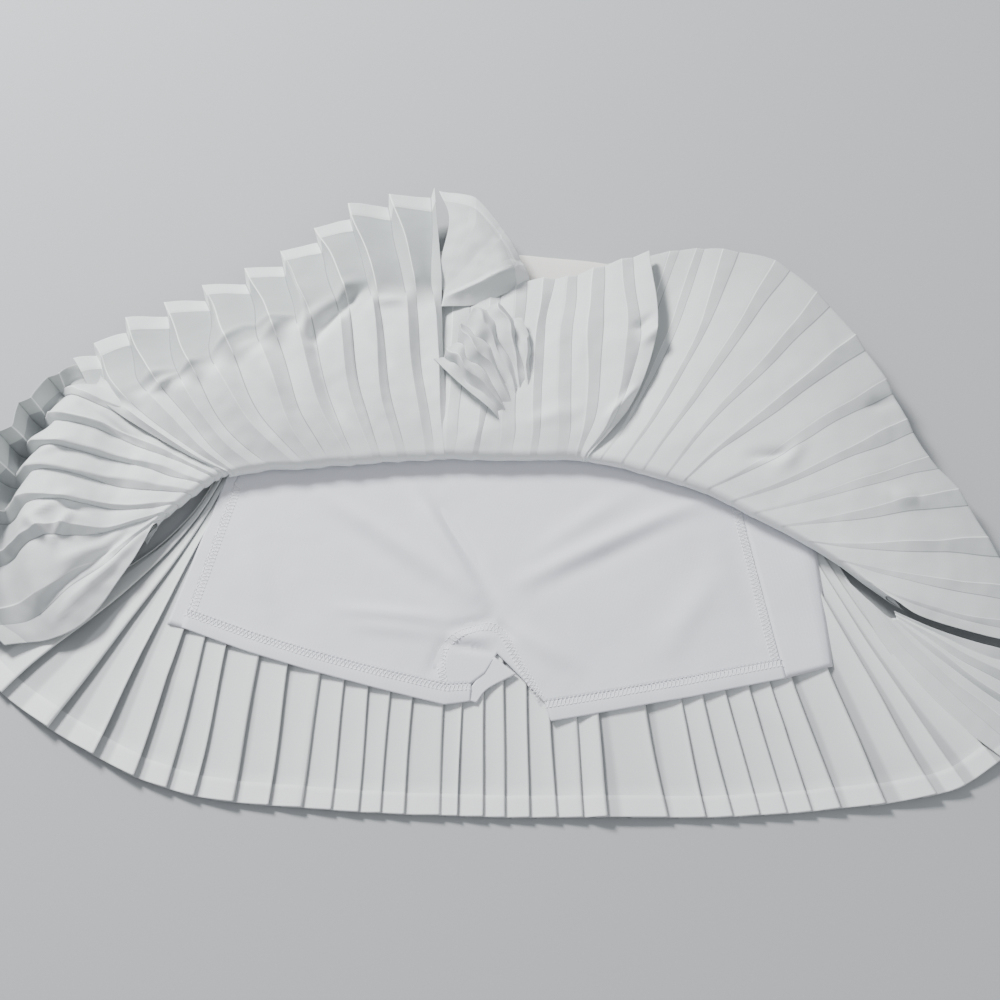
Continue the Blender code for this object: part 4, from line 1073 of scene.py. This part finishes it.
def looperThread(name, lines, size):
    # the zigzag as thin square tubes, one for each swing
    points, faces = [], []
    for line in lines:
        heading = np.diff(line, axis=0)
        heading /= np.linalg.norm(heading, axis=1, keepdims=True)
        across = np.cross(heading, (0.0, 0.0, 1.0)) * size[1]
        rise = np.array([0.0, 0.0, size[2]])
        for here, there, side in zip(line[:-1] + shift, line[1:] + shift, across):
            base = len(points)
            points += [tuple(end + corner) for end in (here, there) for corner in (side, rise, -side, -rise)]
            faces += [(base + i, base + (i + 1) % 4, base + 4 + (i + 1) % 4, base + 4 + i) for i in range(4)]
            faces += [(base + 3, base + 2, base + 1, base), (base + 4, base + 5, base + 6, base + 7)]
    mesh = bpy.data.meshes.new(name)
    mesh.from_pydata(points, [], faces)
    mesh.materials.append(thread)
    made = bpy.data.objects.new(name, mesh)
    bpy.context.scene.collection.objects.link(made)
    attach(made, "root")
    return made


def buildStitches():
    tree, sockets = stitchTree()
    hemTop = shorts["frontZ"]
    rows = {}
    for key, (first, last) in (("legHemLeft", shorts["leftHem"]), ("legHemRight", shorts["rightHem"])):
        place = np.linspace(first, last, 120)
        row = shortsRow(place)
        seamLine = np.stack([row.edgeX, row.edgeY], -1)
        hemLine = np.stack([row.hemX, row.hemY], -1)
        down = (hemLine - seamLine) / np.linalg.norm(hemLine - seamLine, axis=1, keepdims=True)
        rows[key] = [(seamLine + down * 0.0015, hemTop + 0.0007)]
    steps = np.linspace(0.47, 0.995, 90)
    rows["shortsFront"] = []
    for place, inward in ((0.0, 0.0036), (13.0, -0.0036)):
        plan = shortsPlan(np.full(len(steps), place), steps)
        rows["shortsFront"].append((plan + np.array([inward, 0.0]), hemTop))
    crotch = np.array(shorts["crotchSeam"])
    places = np.linspace(0, len(crotch) - 1, 160)
    rows["shortsFront"].append((hermite(np.arange(len(crotch)), crotch, places), hemTop))
    size = (stitching["length"] / 2 - stitching["gap"] / 2, stitching["radius"], stitching["radius"])
    swing = math.hypot(stitching["length"] / 2, stitching["rowApart"] * 0.85)
    for key, seams in rows.items():
        needle, looper = [], []
        for plan, z in seams:
            pair, zigzag = seamRows(plan, z)
            needle += pair
            looper.append(zigzag)
        needleRows = stitched(key + "NeedleRows", needle, stitching["length"], size, tree, sockets)
        looperSize = (swing * 0.52, stitching["looperRadius"], stitching["looperRadius"])
        looperRows = looperThread(key + "LooperThread", looper, looperSize)
    print("stitches made")


band = {"half": 0.158, "height": 0.070, "thickness": 0.0028, "backBase": 0.0002, "frontBase": 0.0034}


def buildBand():
    layers = (("waistbandBack", "waistband_back", band["half"], band["backBase"]),
              ("waistbandFront", "waistband_front", band["half"] * .99, band["frontBase"]))
    for name, node, half, base in layers:
        across = np.linspace(-half, half, 90)
        rise = np.array([0, .02, .06, .12, .2, .3, .4, .5, .6, .7, .8, .88, .94, .98, 1.0])
        plan = np.array([[[x, seamY(x) + band["height"] * t] for x in across] for t in rise])
        crown = (-0.0008 * np.exp(-np.minimum(rise, 1 - rise) / 0.05))[:, None] + 0 * plan[..., 0]
        crown = crown - 0.0005 * (np.abs(plan[..., 0]) > half - 0.002)
        made, size = flatSheet(name, plan, base + band["thickness"], band["thickness"] - 0.0010, bandCloth,
                               heightOf=lambda points: 0.0003 * np.sin(points[..., 0] * 120), extra=crown)
        addPiece(made, node)
    print("band made")


fall = {"top": 0.0112, "thickness": 0.0012, "pastFold": 0.012}


def buildFall():
    # closed pleats of the front between the band and the fold, all hidden under the lobes
    feet = [(rib.footX, rib.footY, rib.lowX, rib.lowY)
            for rib in frontLeft["ribs"][2:] + frontMiddle["ribs"][1:-1] + frontRight["ribs"][2:]]
    feet = np.array(feet)
    heading = feet[:, 2:] - feet[:, :2]
    heading /= np.linalg.norm(heading, axis=1, keepdims=True)
    fold = feet[:, :2] + heading * fall["pastFold"]
    order = np.linspace(0, len(fold) - 1, 240)
    foldLine = hermite(np.arange(len(fold)), fold, order)
    share = np.linspace(-0.97, 0.97, len(order)) * band["half"]
    waist = np.stack([share, seamY(share) - 0.001], -1)
    along = np.linspace(0, 1, 30)[:, None, None]
    plan = waist[None] + (foldLine - waist)[None] * along
    ripple = 0.0004 * np.abs(((np.arange(len(order)) / 8) % 1) - 0.5)[None, :] + 0 * plan[..., 0]
    made, size = flatSheet("frontPleatsHidden", plan, fall["top"], fall["thickness"], wovenCloth,
                           heightOf=lambda points: np.zeros(points.shape[:-1]), extra=ripple)
    addPiece(made, "skirt_front_fall")


studio = {
    "floorColour": "#AEB1B3", "floorSize": 6.0,
    "cameraHeight": 1.042, "cameraBack": 0.486, "elevation": 65.0, "lens": 57.96,
    "keyFrom": (-1.05, 1.25, 1.25), "keySize": 0.50, "keyPower": 86.0,
    "fillFrom": (1.2, -0.9, 1.6), "fillSize": 1.8, "fillPower": 10.0,
    "world": "#DDE0E6", "worldStrength": 0.56,
}


def buildRoom():
    mesh = bpy.data.meshes.new("floor")
    half = studio["floorSize"] / 2
    corners = [(-half, -half, 0), (half, -half, 0), (half, half, 0), (-half, half, 0)]
    mesh.from_pydata(corners, [], [(0, 1, 2, 3)])
    material, tree, shader = newMaterial("paleFloor")
    shader.inputs["Base Color"].default_value = hexColour(studio["floorColour"])
    shader.inputs["Roughness"].default_value = 0.9
    mesh.materials.append(material)
    floor = bpy.data.objects.new("floor", mesh)
    bpy.context.scene.collection.objects.link(floor)

    for name in ("key", "fill"):
        light = bpy.data.lights.new(name + "Light", "AREA")
        light.size, light.energy = studio[name + "Size"], studio[name + "Power"]
        place = studio[name + "From"]
        lamp = bpy.data.objects.new(name + "Light", light)
        lamp.location = place
        lamp.rotation_euler = (Vector((0, 0, 0)) - Vector(place)).to_track_quat("-Z", "Y").to_euler()
        bpy.context.scene.collection.objects.link(lamp)

    world = bpy.data.worlds.new("room")
    world.use_nodes = True
    background = world.node_tree.nodes["Background"]
    background.inputs["Color"].default_value = hexColour(studio["world"])
    background.inputs["Strength"].default_value = studio["worldStrength"]
    bpy.context.scene.world = world

    lens = bpy.data.cameras.new("camera")
    lens.lens, lens.sensor_width = studio["lens"], 36.0
    camera = bpy.data.objects.new("camera", lens)
    camera.location = (shift[0], shift[1] - studio["cameraBack"], studio["cameraHeight"])
    camera.rotation_euler = (math.radians(90 - studio["elevation"]), 0, 0)
    bpy.context.scene.collection.objects.link(camera)
    bpy.context.scene.camera = camera


buildRoom()
buildBack()
buildShorts()
buildStitches()
buildBand()
buildFall()
buildFront()

bpy.context.view_layer.update()

print("all pieces made")
